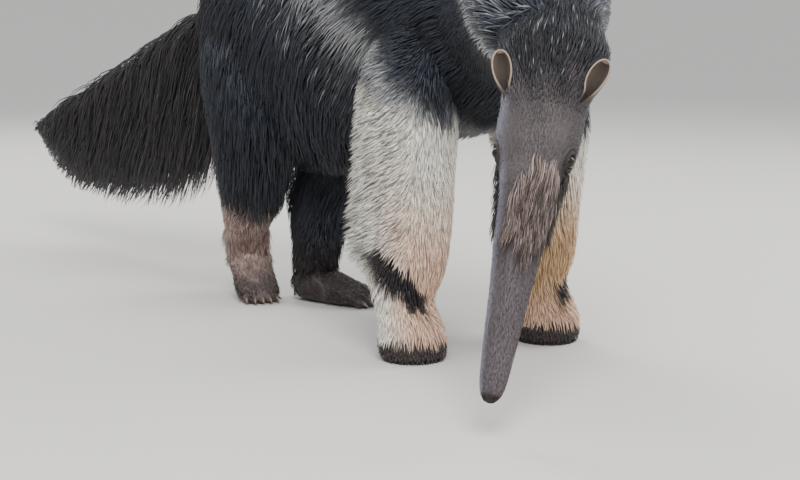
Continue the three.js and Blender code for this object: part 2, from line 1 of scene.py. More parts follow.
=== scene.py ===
"""Giant anteater, life size, standing with its head bent down and to its right.

The sections of the body are given in millimetres from the point midway between the forefeet,
facing -Y with the left side at +X, and are moved onto the frame when a mesh is made.
"""

import math
from collections.abc import Callable
from dataclasses import dataclass
from functools import partial

import bmesh
import bpy
import numpy as np
from mathutils import Matrix, Vector


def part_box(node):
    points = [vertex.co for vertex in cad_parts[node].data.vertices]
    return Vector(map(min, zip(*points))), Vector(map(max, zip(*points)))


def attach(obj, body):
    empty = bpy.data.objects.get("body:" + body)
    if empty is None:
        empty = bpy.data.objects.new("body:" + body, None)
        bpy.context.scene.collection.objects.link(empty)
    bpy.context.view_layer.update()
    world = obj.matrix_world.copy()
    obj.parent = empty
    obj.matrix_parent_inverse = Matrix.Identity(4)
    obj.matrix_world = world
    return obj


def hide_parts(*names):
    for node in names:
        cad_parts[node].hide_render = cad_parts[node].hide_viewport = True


bl_info = {
    "name": "Giant Anteater",
    "version": (1, 0, 0),
    "blender": (4, 5, 0),
    "location": "View3D > Sidebar > Anteater",
    "description": "Builds the skin, coat, eyes, ears and claws of a giant anteater",
    "category": "Add Mesh",
}

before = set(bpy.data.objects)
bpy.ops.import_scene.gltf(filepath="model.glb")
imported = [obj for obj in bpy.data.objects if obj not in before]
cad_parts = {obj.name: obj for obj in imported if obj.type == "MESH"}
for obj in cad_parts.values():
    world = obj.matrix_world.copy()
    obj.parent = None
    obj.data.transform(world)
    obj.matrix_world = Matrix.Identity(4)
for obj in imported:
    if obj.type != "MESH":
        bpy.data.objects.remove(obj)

MM = 0.001
SIDES = ("right", "left")
SHOULDER_Y = 20.0
HIP_Y = 460.0
BACK_Z = 430.0
FACE_TOP = np.array([-136.0, -265.0, 410.0])
FACE_AXIS = np.array([-0.383, -0.175, -0.907])
FACE_LENGTH = 405.0
FACE_BACK = 0.08
BROW_SIDE = (-0.8, -0.6, 0.0)
EYE_RADIUS = 8.0
EYE_PLACE = 0.315
EYE_ANGLE = 12.0
EYE_DEPTH = 4.5
EAR_PLACE = {"right": 0.175, "left": 0.165}
EAR_ANGLE = {"right": 24.0, "left": 16.0}
EAR_LENGTH = 51.0
EAR_LEAN = {"right": 0.2, "left": 0.3}
EAR_DEPTH = {"right": -4.0, "left": 0.0}
MOUTH_LENGTH = 46.0
FORE_CLAW = (44.0, 62.0, 58.0)
FORE_CLAW_RADIUS = (5.5, 7.5, 7.0)
HIND_CLAW = 22.0
HIND_CLAW_RADIUS = 4.0
TAIL_END = 1425.0
SKIN_OVER_GROUND = 0.5
HAIR_OVER_GROUND = 0.8
STRAND_OVER_GROUND = 0.2
PATH_STEPS = 81
POINTS_AT_ONCE = 20000


def smooth(low, high, value):
    """0 below low, 1 above high, and an even ramp between."""
    share = np.clip((value - low) / (high - low), 0, 1)
    return share * share * (3 - 2 * share)


def bump_at(centre, width, value):
    """1 at the centre, falling away over the width."""
    return np.exp(-(((value - centre) / width) ** 2))


def unit(vectors):
    """The same directions, each one long."""
    return vectors / np.maximum(np.linalg.norm(vectors, axis=-1, keepdims=True), 1e-9)


class Form:
    """A part of the body: sections along a smooth path, for the skin and for the tips of the coat.

    A row is x, y, z, then half width, reach up and reach down out to the tips of the coat, then
    the depth of the coat at the sides, on top and below. Angle 0 is one side and 90 is up.
    """

    def __init__(self, rows, up=(0, 0, 1), pear=0.0, sweep=0.0):
        rows = np.array(rows, float)
        self.path = rows[:, :3]
        self.coat = rows[:, 3:6]
        self.bare = self.coat - rows[:, 6:]
        self.up = np.array(up, float)
        self.pear = pear
        self.sweep = sweep

    def spline(self, knots, t, slope=False):
        """The smooth curve through the knots, or its slope, at a share of the length."""
        last = len(knots) - 1
        place = np.clip(t, 0, 1) * last
        first = np.minimum(place.astype(int), last - 1)
        w = (place - first)[..., None]
        padded = np.vstack([2 * knots[0] - knots[1], knots, 2 * knots[-1] - knots[-2]])
        a, b, c, d = (padded[first + i] for i in range(4))
        leave = 0.5 * (c - a)
        arrive = 0.5 * (d - b)
        if slope:
            rate = (6 * w * w - 6 * w) * (b - c)
            rate = rate + (3 * w * w - 4 * w + 1) * leave + (3 * w * w - 2 * w) * arrive
            return rate * last
        place = (2 * w**3 - 3 * w * w + 1) * b + (3 * w * w - 2 * w**3) * c
        return place + (w**3 - 2 * w * w + w) * leave + (w**3 - w * w) * arrive

    def axes(self, t):
        """The ways along, up and to the side, and how far the path goes in one share."""
        slope = self.spline(self.path, t, slope=True)
        along = unit(slope)
        up = unit(self.up - along * (along @ self.up)[..., None])
        return along, up, np.cross(along, up), np.linalg.norm(slope, axis=-1)

    def reach(self, t, share):
        """Half width, reach up and reach down. Share 0 is the skin, 1 the tips."""
        bare = self.spline(self.bare, t)
        coat = self.spline(self.coat, t)
        return bare + (coat - bare) * np.asarray(share)[..., None]

    def point(self, t, angle, share=0.0):
        """The place at a share of the length and an angle. Share 0 is the skin, 1 the tips."""
        t, angle, share = np.broadcast_arrays(np.asarray(t, float), angle, share)
        along, up, side, rate = self.axes(t)
        reach = self.reach(t, share)
        rise = np.sin(np.radians(angle))
        height = np.where(rise > 0, reach[..., 1], reach[..., 2])
        width = reach[..., 0] * (1 - self.pear * rise)
        beyond = (t - np.clip(t, 0, 1)) * rate
        return (
            self.spline(self.path, t)
            + side * (width * np.cos(np.radians(angle)))[..., None]
            + up * (height * rise)[..., None]
            + along * (self.sweep * height * rise * rise + beyond)[..., None]
        )

    def normal(self, t, angle, share=0.0):
        """The way out of the form at a share of the length and an angle."""
        t, angle, share = np.broadcast_arrays(np.asarray(t, float), angle, share)
        _, up, side, _ = self.axes(t)
        reach = self.reach(t, share)
        rise = np.sin(np.radians(angle))
        height = np.where(rise > 0, reach[..., 1], reach[..., 2])
        across = np.cos(np.radians(angle)) / np.maximum(reach[..., 0], 1)
        return unit(side * across[..., None] + up * (rise / np.maximum(height, 1))[..., None])

    def locate(self, points):
        """The share of the length, the angle and how deep each point lies under the skin."""
        steps = np.linspace(0, 1, PATH_STEPS)
        path = self.spline(self.path, steps)
        best = np.empty(len(points), int)
        for start in range(0, len(points), POINTS_AT_ONCE):
            rows = slice(start, start + POINTS_AT_ONCE)
            gap = ((points[rows, None, :] - path[None]) ** 2).sum(-1)
            best[rows] = gap.argmin(1)
        t = steps[best]
        for _ in range(2):
            along, up, side, rate = self.axes(t)
            offset = points - self.spline(self.path, t)
            t = np.clip(t + (offset * along).sum(-1) / rate, 0, 1)
        along, up, side, rate = self.axes(t)
        offset = points - self.spline(self.path, t)
        reach = self.spline(self.bare, t)
        x = (offset * side).sum(-1)
        y = (offset * up).sum(-1)
        height = np.where(y > 0, reach[:, 1], reach[:, 2])
        size = np.hypot(x / reach[:, 0], y / height)
        ahead = np.abs((offset * along).sum(-1))
        depth = (1 - size) * np.minimum(reach[:, 0], height) - ahead
        return t, np.degrees(np.arctan2(y / height, x / reach[:, 0])), depth


FACE_ROWS = (
    (-FACE_BACK, 48, 36, 46, 7),
    (0, 63, 48, 58, 6),
    (0.08, 57, 45, 57, 5),
    (0.16, 49, 40, 53, 4),
    (0.24, 48.5, 36, 49, 3),
    (0.32, 45.5, 33, 45, 2.5),
    (0.4, 35.5, 28, 38, 2.2),
    (0.48, 31, 25, 33, 2),
    (0.56, 28.5, 23, 30, 1.6),
    (0.64, 25, 20, 26, 1.4),
    (0.72, 22, 18, 23, 1.2),
    (0.8, 20, 16, 20, 1.1),
    (0.88, 17.5, 14, 17, 1),
    (0.95, 14.5, 11.5, 13, 0.8),
    (1, 9, 7, 8, 0.5),
)
FACE_SHARES = [row[0] for row in FACE_ROWS]


def face_row(share, half_width, top, bottom, hair):
    """A row of the face's form, at a share of the face's length from the top of the head."""
    place = FACE_TOP + FACE_AXIS * share * FACE_LENGTH
    return [*place, half_width, top, bottom, hair, hair, hair]


FORMS = {
    "trunk": Form(
        [
            [0, -130, BACK_Z - 30, 62, 70, 70, 9, 11, 12],
            [0, -80, BACK_Z - 15, 95, 108, 108, 10, 14, 14],
            [0, 0, BACK_Z, 120, 145, 142, 13, 22, 16],
            [0, 110, BACK_Z, 130, 175, 165, 18, 38, 30],
            [0, 250, BACK_Z - 5, 145, 200, 215, 26, 54, 72],
            [0, 380, BACK_Z - 5, 150, 205, 225, 30, 62, 88],
            [0, HIP_Y + 20, BACK_Z - 5, 142, 190, 205, 32, 66, 84],
            [0, HIP_Y + 100, BACK_Z - 5, 115, 160, 165, 30, 64, 74],
            [0, HIP_Y + 160, BACK_Z - 10, 70, 110, 110, 26, 60, 60],
        ],
    ),
    "neck": Form(
        [
            [-2, -30, 440, 108, 120, 118, 12, 14, 14],
            [-32, -105, 455, 101, 104, 104, 12, 13, 13],
            [-76, -168, 458, 92, 92, 94, 11, 12, 12],
            [-112, -214, 447, 82, 80, 84, 9, 10, 10],
            [-134, -252, 420, 62, 56, 62, 8, 9, 9],
        ],
    ),
    "face": Form(
        [face_row(*row) for row in FACE_ROWS],
        up=BROW_SIDE,
        pear=0.08,
    ),
    "foreleg_right": Form(
        [
            [-72, SHOULDER_Y + 16, 440, 44, 60, 80, 8, 8, 8],
            [-93, SHOULDER_Y + 22, 360, 58, 70, 92, 8, 8, 12],
            [-98, SHOULDER_Y + 24, 295, 61, 72, 98, 8, 8, 32],
            [-101, SHOULDER_Y + 22, 235, 59, 68, 108, 8, 8, 52],
            [-105, SHOULDER_Y + 14, 180, 56, 62, 128, 8, 8, 72],
            [-110, SHOULDER_Y + 8, 130, 51, 54, 130, 8, 7, 76],
            [-117, SHOULDER_Y + 6, 88, 41, 42, 66, 7, 7, 30],
            [-117, SHOULDER_Y + 4, 60, 41, 42, 42, 7, 7, 7],
            [-115, SHOULDER_Y - 2, 32, 46, 48, 44, 6, 6, 6],
            [-114, SHOULDER_Y - 4, 10, 46, 47, 42, 4, 4, 4],
            [-114, SHOULDER_Y - 3, -4, 40, 41, 36, 3, 3, 3],
        ],
        up=(0, -1, 0),
    ),
    "foreleg_left": Form(
        [
            [76, SHOULDER_Y - 2, 440, 44, 60, 80, 8, 8, 8],
            [101, SHOULDER_Y - 7, 360, 58, 70, 92, 8, 8, 12],
            [107, SHOULDER_Y - 12, 295, 61, 72, 98, 8, 8, 20],
            [106, SHOULDER_Y - 15, 235, 55, 63, 74, 8, 8, 26],
            [101, SHOULDER_Y - 18, 180, 52, 58, 68, 8, 8, 28],
            [98, SHOULDER_Y - 22, 130, 48, 52, 62, 8, 7, 26],
            [93, SHOULDER_Y - 22, 88, 41, 42, 48, 7, 7, 10],
            [98, SHOULDER_Y - 25, 60, 41, 42, 42, 7, 7, 7],
            [104, SHOULDER_Y - 28, 32, 46, 48, 44, 6, 6, 6],
            [105, SHOULDER_Y - 28, 10, 46, 47, 42, 4, 4, 4],
            [105, SHOULDER_Y - 27, -4, 40, 41, 36, 3, 3, 3],
        ],
        up=(0, -1, 0),
    ),
    "hindleg_right": Form(
        [
            [-72, HIP_Y + 10, 455, 58, 95, 90, 15, 20, 20],
            [-82, HIP_Y - 5, 390, 68, 110, 105, 21, 28, 30],
            [-88, HIP_Y - 22, 320, 68, 112, 105, 25, 40, 38],
            [-86, HIP_Y - 18, 260, 62, 104, 92, 26, 55, 41],
            [-74, HIP_Y + 12, 200, 52, 86, 74, 20, 52, 36],
            [-54, HIP_Y + 52, 150, 42, 56, 56, 12, 26, 24],
            [-38, HIP_Y + 82, 110, 35, 37, 40, 4, 6, 6],
            [-31, HIP_Y + 90, 80, 31, 33, 34, 3, 3, 3],
        ],
        up=(0, -1, 0),
    ),
    "hindleg_left": Form(
        [
            [72, HIP_Y - 5, 455, 58, 95, 90, 15, 20, 20],
            [80, HIP_Y - 30, 390, 68, 110, 105, 21, 28, 30],
            [77, HIP_Y - 52, 320, 68, 102, 112, 25, 34, 44],
            [66, HIP_Y - 58, 255, 62, 82, 128, 26, 35, 77],
            [50, HIP_Y - 46, 195, 54, 64, 126, 22, 31, 89],
            [35, HIP_Y - 36, 140, 48, 52, 108, 15, 19, 71],
            [25, HIP_Y - 30, 95, 40, 44, 62, 9, 10, 25],
            [20, HIP_Y - 28, 62, 34, 38, 40, 6, 6, 8],
        ],
        up=(0, -1, 0),
    ),
    "hindfoot_right": Form(
        [
            [-22, HIP_Y + 116, 78, 20, 14, 20, 3, 3, 2],
            [-27, HIP_Y + 98, 66, 31, 28, 34, 3, 3, 2],
            [-38, HIP_Y + 68, 46, 33, 26, 34, 3, 3, 2],
            [-51, HIP_Y + 36, 27, 35, 24, 34, 3, 3, 2],
            [-62, HIP_Y + 8, 16, 33, 17, 22, 3, 3, 2],
            [-69, HIP_Y - 10, 12, 22, 9, 14, 3, 3, 2],
        ],
    ),
    "hindfoot_left": Form(
        [
            [9, HIP_Y + 4, 24, 20, 16, 28, 3, 3, 2],
            [14, HIP_Y - 11, 28, 31, 30, 34, 3, 3, 2],
            [22, HIP_Y - 38, 28, 34, 32, 34, 3, 3, 2],
            [34, HIP_Y - 76, 22, 36, 24, 30, 3, 3, 2],
            [48, HIP_Y - 116, 16, 33, 16, 22, 3, 3, 2],
            [55, HIP_Y - 136, 11, 21, 8, 14, 3, 3, 2],
        ],
    ),
    "tail": Form(
        [
            [0, HIP_Y + 140, 432, 62, 80, 90, 32, 50, 58],
            [0, HIP_Y + 220, 418, 72, 82, 220, 50, 58, 176],
            [0, HIP_Y + 320, 390, 80, 82, 285, 62, 64, 246],
            [0, HIP_Y + 440, 350, 82, 82, 272, 66, 66, 236],
            [0, HIP_Y + 590, 302, 78, 82, 225, 64, 67, 194],
            [0, HIP_Y + 730, 264, 68, 76, 176, 55, 64, 150],
            [0, HIP_Y + 850, 240, 44, 56, 104, 37, 50, 88],
            [0, TAIL_END - 15, 226, 12, 18, 22, 9, 14, 17],
        ],
        sweep=0.3,
    ),
}
FACE = FORMS["face"]


def face_t(share):
    """The form's own share for a share of the face's length, as the frame's source has it."""
    return (share + FACE_BACK) / (1 + FACE_BACK)


def side_angle(side, degrees):
    """The angle on either side of the face, for one given on its right side."""
    return degrees if side == "right" else 180 - degrees


def eye_centre(side):
    """The middle of an eyeball, a little under the tips of the hair."""
    t = face_t(EYE_PLACE)
    angle = side_angle(side, EYE_ANGLE)
    return FACE.point(t, angle, 1.0) - EYE_DEPTH * FACE.normal(t, angle, 1.0)


def frame_shift():
    """What is added to the body's own coordinates to stand it on the frame, in millimetres."""
    low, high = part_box("eye_right")
    return np.array((low + high) / 2) / MM - eye_centre("right")


SHIFT = frame_shift()


def to_frame(points):
    """From body millimetres to the frame's metres."""
    return (np.asarray(points) + SHIFT) * MM


def to_body(points):
    """From the frame's metres to body millimetres."""
    return np.asarray(points) / MM - SHIFT


# Colours, as linear values

# Black and blue-black lean blue: a painted bluish sheen of sky light on the black coat.
BLACK = np.array([0.016, 0.019, 0.028])
BLUE_SHEEN_BLACK = np.array([0.028, 0.035, 0.052])
BROWN_BLACK = np.array([0.034, 0.028, 0.026])
NAPE = np.array([0.04, 0.047, 0.068])
CROWN = np.array([0.016, 0.018, 0.024])
GRIZZLED = np.array([0.05, 0.054, 0.066])
PALE_TICK = np.array([0.4, 0.41, 0.42])
WHITE_HAIR = np.array([0.8, 0.81, 0.82])
CREAM = np.array([1.0, 0.95, 0.86])
PINK_BEIGE = np.array([0.86, 0.59, 0.44])
GOLD = np.array([0.66, 0.43, 0.22])
FRECKLE = np.array([0.06, 0.062, 0.06])
BRACELET = np.array([0.022, 0.016, 0.019])
FOOT = np.array([0.062, 0.05, 0.048])
TAUPE = np.array([0.087, 0.073, 0.075])
# Painted highlight: light blue-grey where the light catches the right side of the snout.
BLUE_GREY_HIGHLIGHT = np.array([0.28, 0.28, 0.34])
SNOUT_GREY = np.array([0.084, 0.069, 0.075])
# Painted shade on the jaw's lower sides, and dark hair with painted shade round the eyes.
SHADE_AND_DARK_HAIR = np.array([0.02, 0.015, 0.013])
NOSE = np.array([0.018, 0.014, 0.015])
TUFT_LIGHT = np.array([0.34, 0.25, 0.21])
TUFT_DARK = np.array([0.045, 0.03, 0.024])
SHANK = np.array([0.54, 0.39, 0.345])
TAIL_LIGHT = np.array([0.12, 0.1, 0.085])


def mix(a, b, share):
    """From a to b, place by place, by a share."""
    share = np.asarray(share)[..., None]
    return a * (1 - share) + b * share


class Drift:
    """A smooth field of a few crossed waves, for things that change slowly over the body."""

    def __init__(self, seed, wavelength, waves=7):
        rng = np.random.default_rng(seed)
        self.heading = unit(rng.normal(size=(waves, 3))) * 2 * np.pi / wavelength
        self.heading *= rng.uniform(0.6, 1.6, (waves, 1))
        self.phase = rng.uniform(0, 2 * np.pi, waves)

    def __call__(self, points):
        return np.sin(points @ self.heading.T + self.phase).mean(-1) * 2


EDGE_DRIFT = Drift(3, 30)
SHADE_DRIFT = Drift(4, 90)
FRECKLE_DRIFT = Drift(5, 34)

MARK_EDGE = 9.0
BAND_REAR = 350.0
BAND_FRONT = 600.0
GRIZZLED_LENGTH = 175.0
CHEST_TOP = (270.0, 330.0)
LEG_TOP = 327.0
ROW_GAP = 8.5
LEFT_GOLD_HEIGHT = 135.0
BRACELET_AT = {"right": (131.0, 18.0), "left": (104.0, -6.0)}
BRACELET_HEIGHT = {"right": 110, "left": 94}
BRACELET_HALF = {"right": 17, "left": 10}
BRACELET_BACK = {"right": -25, "left": -60}
SOCKET_SIZE = (25.0, 14.0)


def black_coat(points):
    """Black, with slow patches of blue-black: a painted bluish sheen."""
    return mix(BLACK, BLUE_SHEEN_BLACK, 0.5 + 0.5 * SHADE_DRIFT(points))


def body_markings(points):
    """Colours of the neck and trunk, and how much each place is ticked with pale hair."""
    y, z = points[:, 1], points[:, 2]
    rise = z - y + 7 * EDGE_DRIFT(points)
    run = (y + z) / math.sqrt(2)
    behind = BAND_REAR - 30 * smooth(400, 620, run) - 1.2 * np.maximum(330 - z, 0) - rise
    before = rise - (BAND_FRONT - 262 * smooth(230, 600, run))
    ahead = smooth(-MARK_EDGE, MARK_EDGE, before)
    band = smooth(-MARK_EDGE, MARK_EDGE, -behind) * (1 - ahead)
    colour = mix(black_coat(points), BROWN_BLACK, 0.6 * smooth(330, 620, y))
    fade = smooth(0, 1, (behind + 20 * EDGE_DRIFT(points * 0.5)) / GRIZZLED_LENGTH)
    above_chest = smooth(*CHEST_TOP, z)
    shoulder = smooth(-MARK_EDGE, MARK_EDGE, behind) * (1 - fade) * above_chest
    colour = mix(colour, GRIZZLED, shoulder)
    colour = mix(colour, NAPE, ahead)
    line = bump_at(8, 9, before) * (1 - smooth(520, 600, run)) * above_chest
    wide = bump_at(26, 24, behind) * (1 - 0.6 * smooth(430, 600, run)) * above_chest
    colour = mix(colour, WHITE_HAIR, np.clip(0.8 * line + 0.5 * wide, 0, 1))
    ticks = np.clip(0.42 * ahead + 0.7 * shoulder + 0.5 * wide - band, 0, 1)
    spine = bump_at(0, 60, points[:, 0]) * smooth(470, 520, z) * (1 - band)
    return colour, np.maximum(ticks, 0.3 * spine)


def outer_angle(side, angle):
    """The angle round a foreleg from its outer side, with 90 at the front."""
    angle = np.asarray(angle) if side == "right" else 180 - np.asarray(angle)
    return (angle + 180) % 360 - 180


def foreleg_markings(points, angle, side):
    """Pale with rows of dark flecks outside, a dark bracelet at the wrist and a dark foot."""
    x, y, z = points.T
    edge = 6 * EDGE_DRIFT(points)
    outer = outer_angle(side, angle)
    colour = mix(CREAM, PINK_BEIGE, smooth(280, 130, z) * smooth(-20, 70, outer))
    if side == "left":
        colour = mix(colour, GOLD, 0.9 * bump_at(LEFT_GOLD_HEIGHT, 75, z))
    rows = np.sin(2 * np.pi * (z + 0.35 * y + 5 * FRECKLE_DRIFT(points)) / ROW_GAP)
    lateral = smooth(75, 35, np.abs(outer + 5)) * smooth(125, 190, z)
    freckle = 0.6 * smooth(0.0, 0.8, rows) * lateral
    at_x, at_y = BRACELET_AT[side]
    slant = (np.abs(x) - at_x) + (y - at_y)
    half = BRACELET_HALF[side]
    off_middle = np.abs(z - BRACELET_HEIGHT[side] - 0.52 * slant + edge)
    bracelet = 1 - smooth(half, half + 7, off_middle)
    back = BRACELET_BACK[side]
    bracelet = bracelet * smooth(back - 15, back + 15, outer) * smooth(112, 84, outer)
    body, ticks = body_markings(points)
    above = smooth(-12, 12, z - LEG_TOP + edge - 0.4 * (y + 2))
    colour = mix(colour, body, above)
    colour = mix(colour, BRACELET, bracelet)
    colour = mix(colour, FOOT, smooth(38, 28, z + 0.6 * edge))
    return colour, ticks * above, freckle * (1 - above) * (1 - bracelet)


def hindleg_colour(points, side):
    """Black thighs, with a brown shank on the right and a near black one on the left."""
    z = points[:, 2]
    if side == "right":
        return mix(black_coat(points), SHANK, smooth(205, 165, z + 8 * EDGE_DRIFT(points)))
    return mix(black_coat(points), BROWN_BLACK, smooth(150, 60, z))


def hindfoot_colour(points, side):
    """The shank's colour above, and dark towards the toes."""
    low = 0.9 * smooth(70, 26, points[:, 2] + 6 * EDGE_DRIFT(points))
    if side == "right":
        return mix(SHANK * 0.9, FOOT, low)
    return mix(BROWN_BLACK, FOOT * 1.3, low)


def face_markings(points, t, angle):
    """Taupe and grey, with a painted highlight down the right side of the snout, the jaw's lower sides
    darkened by painted shade, eye sockets of dark hair deepened by painted shade, painted shade under the
    face, a dark crown and nose, and a few pale ticks.
    """
    share = t * (1 + FACE_BACK) - FACE_BACK
    colour = mix(TAUPE, SNOUT_GREY, smooth(0.4, 0.62, share))
    # Painted highlight down the right side of the snout.
    snout_side_highlight = smooth(55, 12, angle) * smooth(-40, -5, angle)
    colour = mix(colour, BLUE_GREY_HIGHLIGHT, 0.75 * snout_side_highlight)
    colour = colour * (1 + 0.12 * SHADE_DRIFT(points))[:, None]
    crown = smooth(0.22, 0.05, share + 0.05 * EDGE_DRIFT(points))
    colour = mix(colour, CROWN, 0.9 * crown)
    low = np.minimum(np.abs(angle), np.abs(180 - np.abs(angle)))
    under = smooth(20, 2, np.where(np.sin(np.radians(angle)) > 0, low, 0))
    # Painted shade: the lower sides of the face below the eyes darkened for the shadow of the jaw.
    jaw_shade = under * smooth(0.29, 0.33, share) * smooth(0.56, 0.46, share)
    # Round each eye: dark hair, deepened with painted shade.
    socket = np.zeros(len(points))
    for side in SIDES:
        gap = points - eye_centre(side)
        lengthwise = gap @ FACE_AXIS
        across = np.sqrt(np.maximum((gap**2).sum(-1) - lengthwise**2, 0))
        size = np.hypot((lengthwise - 3) / SOCKET_SIZE[0], across / SOCKET_SIZE[1])
        socket = np.maximum(socket, smooth(1.2, 0.55, size))
    colour = mix(colour, SHADE_AND_DARK_HAIR, np.maximum(0.85 * jaw_shade, 0.95 * socket))
    # Painted shade: the underside of the face darker, a darker copy of the snout's grey.
    below = smooth(10, -30, low * np.sign(angle))
    colour = mix(colour, SNOUT_GREY * 0.7, 0.4 * below)
    colour = mix(colour, NOSE, smooth(0.955, 0.975, share))
    return colour, 0.1 * crown


def markings(name, points, t, angle):
    """Colour, share of pale ticks and share of dark freckles for places on a form."""
    none = np.zeros(len(points))
    kind, _, side = name.partition("_")
    if kind in ("trunk", "neck"):
        return (*body_markings(points), none)
    if kind == "face":
        return (*face_markings(points, t, angle), none)
    if kind == "foreleg":
        return foreleg_markings(points, angle, side)
    if kind == "hindleg":
        return hindleg_colour(points, side), none, none
    if kind == "hindfoot":
        return hindfoot_colour(points, side), none, none
    return mix(BLACK, BROWN_BLACK, 0.5 + 0.5 * SHADE_DRIFT(points)), none, none


# Materials


def new_material(name, roughness, specular=0.5):
    """A new material with its node tree and shader."""
    material = bpy.data.materials.new(name)
    material.use_nodes = True
    shader = material.node_tree.nodes["Principled BSDF"]
    shader.inputs["Roughness"].default_value = roughness
    shader.inputs["Specular IOR Level"].default_value = specular
    return material, material.node_tree, shader


def add_node(tree, kind, inputs=(), **settings):
    """A node with its settings, and the values of those inputs that nothing is linked to."""
    node = tree.nodes.new(kind)
    for key, value in settings.items():
        setattr(node, key, value)
    for key, value in dict(inputs).items():
        node.inputs[key].default_value = value
    return node


def add_tint(tree):
    """The colour that each piece carries in its own mesh."""
    return add_node(tree, "ShaderNodeAttribute", attribute_name="tint").outputs["Color"]


def add_bump(tree, shader, height, strength, distance):
    bump = add_node(tree, "ShaderNodeBump", {"Strength": strength, "Distance": distance})
    tree.links.new(height, bump.inputs["Height"])
    tree.links.new(bump.outputs["Normal"], shader.inputs["Normal"])


def fine_hair_group():
    """Fine parallel lines along a tuft, and soft blotches, from the tuft's own map."""
    group = bpy.data.node_groups.get("Fine hair lines")
    if group:
        return group
    group = bpy.data.node_groups.new("Fine hair lines", "ShaderNodeTree")
    for name, way, kind in (
        ("Map", "INPUT", "Vector"),
        ("Colour", "INPUT", "Color"),
        ("Contrast", "INPUT", "Float"),
        ("Colour", "OUTPUT", "Color"),
        ("Height", "OUTPUT", "Float"),
    ):
        group.interface.new_socket(name, in_out=way, socket_type=f"NodeSocket{kind}")
    start = add_node(group, "NodeGroupInput")
    end = add_node(group, "NodeGroupOutput")
    stretch = add_node(group, "ShaderNodeMapping", {"Scale": (9.0, 1.2, 1.0)})
    lines = add_node(group, "ShaderNodeTexNoise", {"Scale": 1.0, "Detail": 3.0})
    shade = add_node(group, "ShaderNodeMapRange", {"To Min": -0.5, "To Max": 0.5})
    scaled = add_node(group, "ShaderNodeMath", {2: 1.0}, operation="MULTIPLY_ADD")
    tinted = add_node(group, "ShaderNodeVectorMath", operation="SCALE")
    link = group.links.new
    link(start.outputs["Map"], stretch.inputs["Vector"])
    link(stretch.outputs["Vector"], lines.inputs["Vector"])
    link(lines.outputs["Fac"], shade.inputs["Value"])
    link(shade.outputs["Result"], scaled.inputs[0])
    link(start.outputs["Contrast"], scaled.inputs[1])
    link(start.outputs["Colour"], tinted.inputs[0])
    link(scaled.outputs["Value"], tinted.inputs["Scale"])
    link(tinted.outputs["Vector"], end.inputs["Colour"])
    link(lines.outputs["Fac"], end.inputs["Height"])
    return group


def add_fine_hair(tree, shader, place, contrast, strength, distance):
    """Draws the fine lines over the tint, and raises them."""
    lines = add_node(tree, "ShaderNodeGroup", node_tree=fine_hair_group())
    lines.inputs["Contrast"].default_value = contrast
    tree.links.new(place, lines.inputs["Map"])
    tree.links.new(add_tint(tree), lines.inputs["Colour"])
    tree.links.new(lines.outputs["Colour"], shader.inputs["Base Color"])
    add_bump(tree, shader, lines.outputs["Height"], strength, distance)


def hair_material(name):
    material, tree, shader = new_material(name, roughness=0.42)
    strand = add_node(tree, "ShaderNodeUVMap", uv_map="strand")
    add_fine_hair(tree, shader, strand.outputs["UV"], contrast=0.9, strength=0.5, distance=0.0015)
    return material


def skin_material(name):
    """Short hair that lies along the face, in lines stretched over the Object coordinates."""
    material, tree, shader = new_material(name, roughness=0.7, specular=0.3)
    place = add_node(tree, "ShaderNodeTexCoord")
    lie = Vector(FACE_AXIS).to_track_quat("Z", "Y").inverted().to_euler()
    turn = add_node(tree, "ShaderNodeMapping", {"Rotation": lie})
    stretch = add_node(tree, "ShaderNodeMapping", {"Scale": (85.0, 640.0, 110.0)})
    tree.links.new(place.outputs["Object"], turn.inputs["Vector"])
    tree.links.new(turn.outputs["Vector"], stretch.inputs["Vector"])
    add_fine_hair(tree, shader, stretch.outputs["Vector"], contrast=0.7, strength=0.15, distance=0.001)
    return material


def eye_material(name):
    material, tree, shader = new_material(name, roughness=0.12, specular=0.35)
    tree.links.new(add_tint(tree), shader.inputs["Base Color"])
    return material


def claw_material(name):
    material, tree, shader = new_material(name, roughness=0.38)
    tree.links.new(add_tint(tree), shader.inputs["Base Color"])
    place = add_node(tree, "ShaderNodeTexCoord")
    grain = add_node(tree, "ShaderNodeTexNoise", {"Scale": 260.0})
    tree.links.new(place.outputs["Object"], grain.inputs["Vector"])
    add_bump(tree, shader, grain.outputs["Fac"], strength=0.25, distance=0.001)
    return material


MATERIALS = {
    "Hair": hair_material,
    "Skin under short hair": skin_material,
    "Wet dark eye": eye_material,
    "Worn horn": claw_material,
}


def material_named(name):
    """One of the materials above, made when it is first asked for."""
    return bpy.data.materials.get(name) or MATERIALS[name](name)


# Meshes


def read_points(mesh):
    flat = np.empty(len(mesh.vertices) * 3, np.float32)
    mesh.vertices.foreach_get("co", flat)
    return flat.reshape(-1, 3).astype(float)


def set_tint(mesh, colours):
    layer = mesh.color_attributes.new("tint", "FLOAT_COLOR", "POINT")
    rgba = np.ones((len(mesh.vertices), 4), np.float32)
    rgba[:, :3] = np.clip(colours, 0, 1)
    layer.data.foreach_set("color", rgba.ravel())


def set_places(verts, places):
    for vert, place in zip(verts, places):
        vert.co = place


def make_object(name, mesh, material, replaces=()):
    """Links a finished piece, with its place in its mesh, and puts it on the frame."""
    mesh.name = name
    mesh.materials.clear()
    mesh.materials.append(material_named(material))
    mesh.shade_smooth()
    piece = bpy.data.objects.new(name, mesh)
    bpy.context.scene.collection.objects.link(piece)
    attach(piece, "root")
    if replaces:
        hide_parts(*replaces)


def finish_piece(name, mesh, colours, material, replaces):
    """Colours a mesh that is still in body millimetres, and makes a piece of it on the frame."""
    set_tint(mesh, colours)
    mesh.vertices.foreach_set("co", to_frame(read_points(mesh)).ravel())
    mesh.update()
    make_object(name, mesh, material, replaces)


def mesh_from(bm, name="part"):
    mesh = bpy.data.meshes.new(name)
    bm.to_mesh(mesh)
    bm.free()
    return mesh


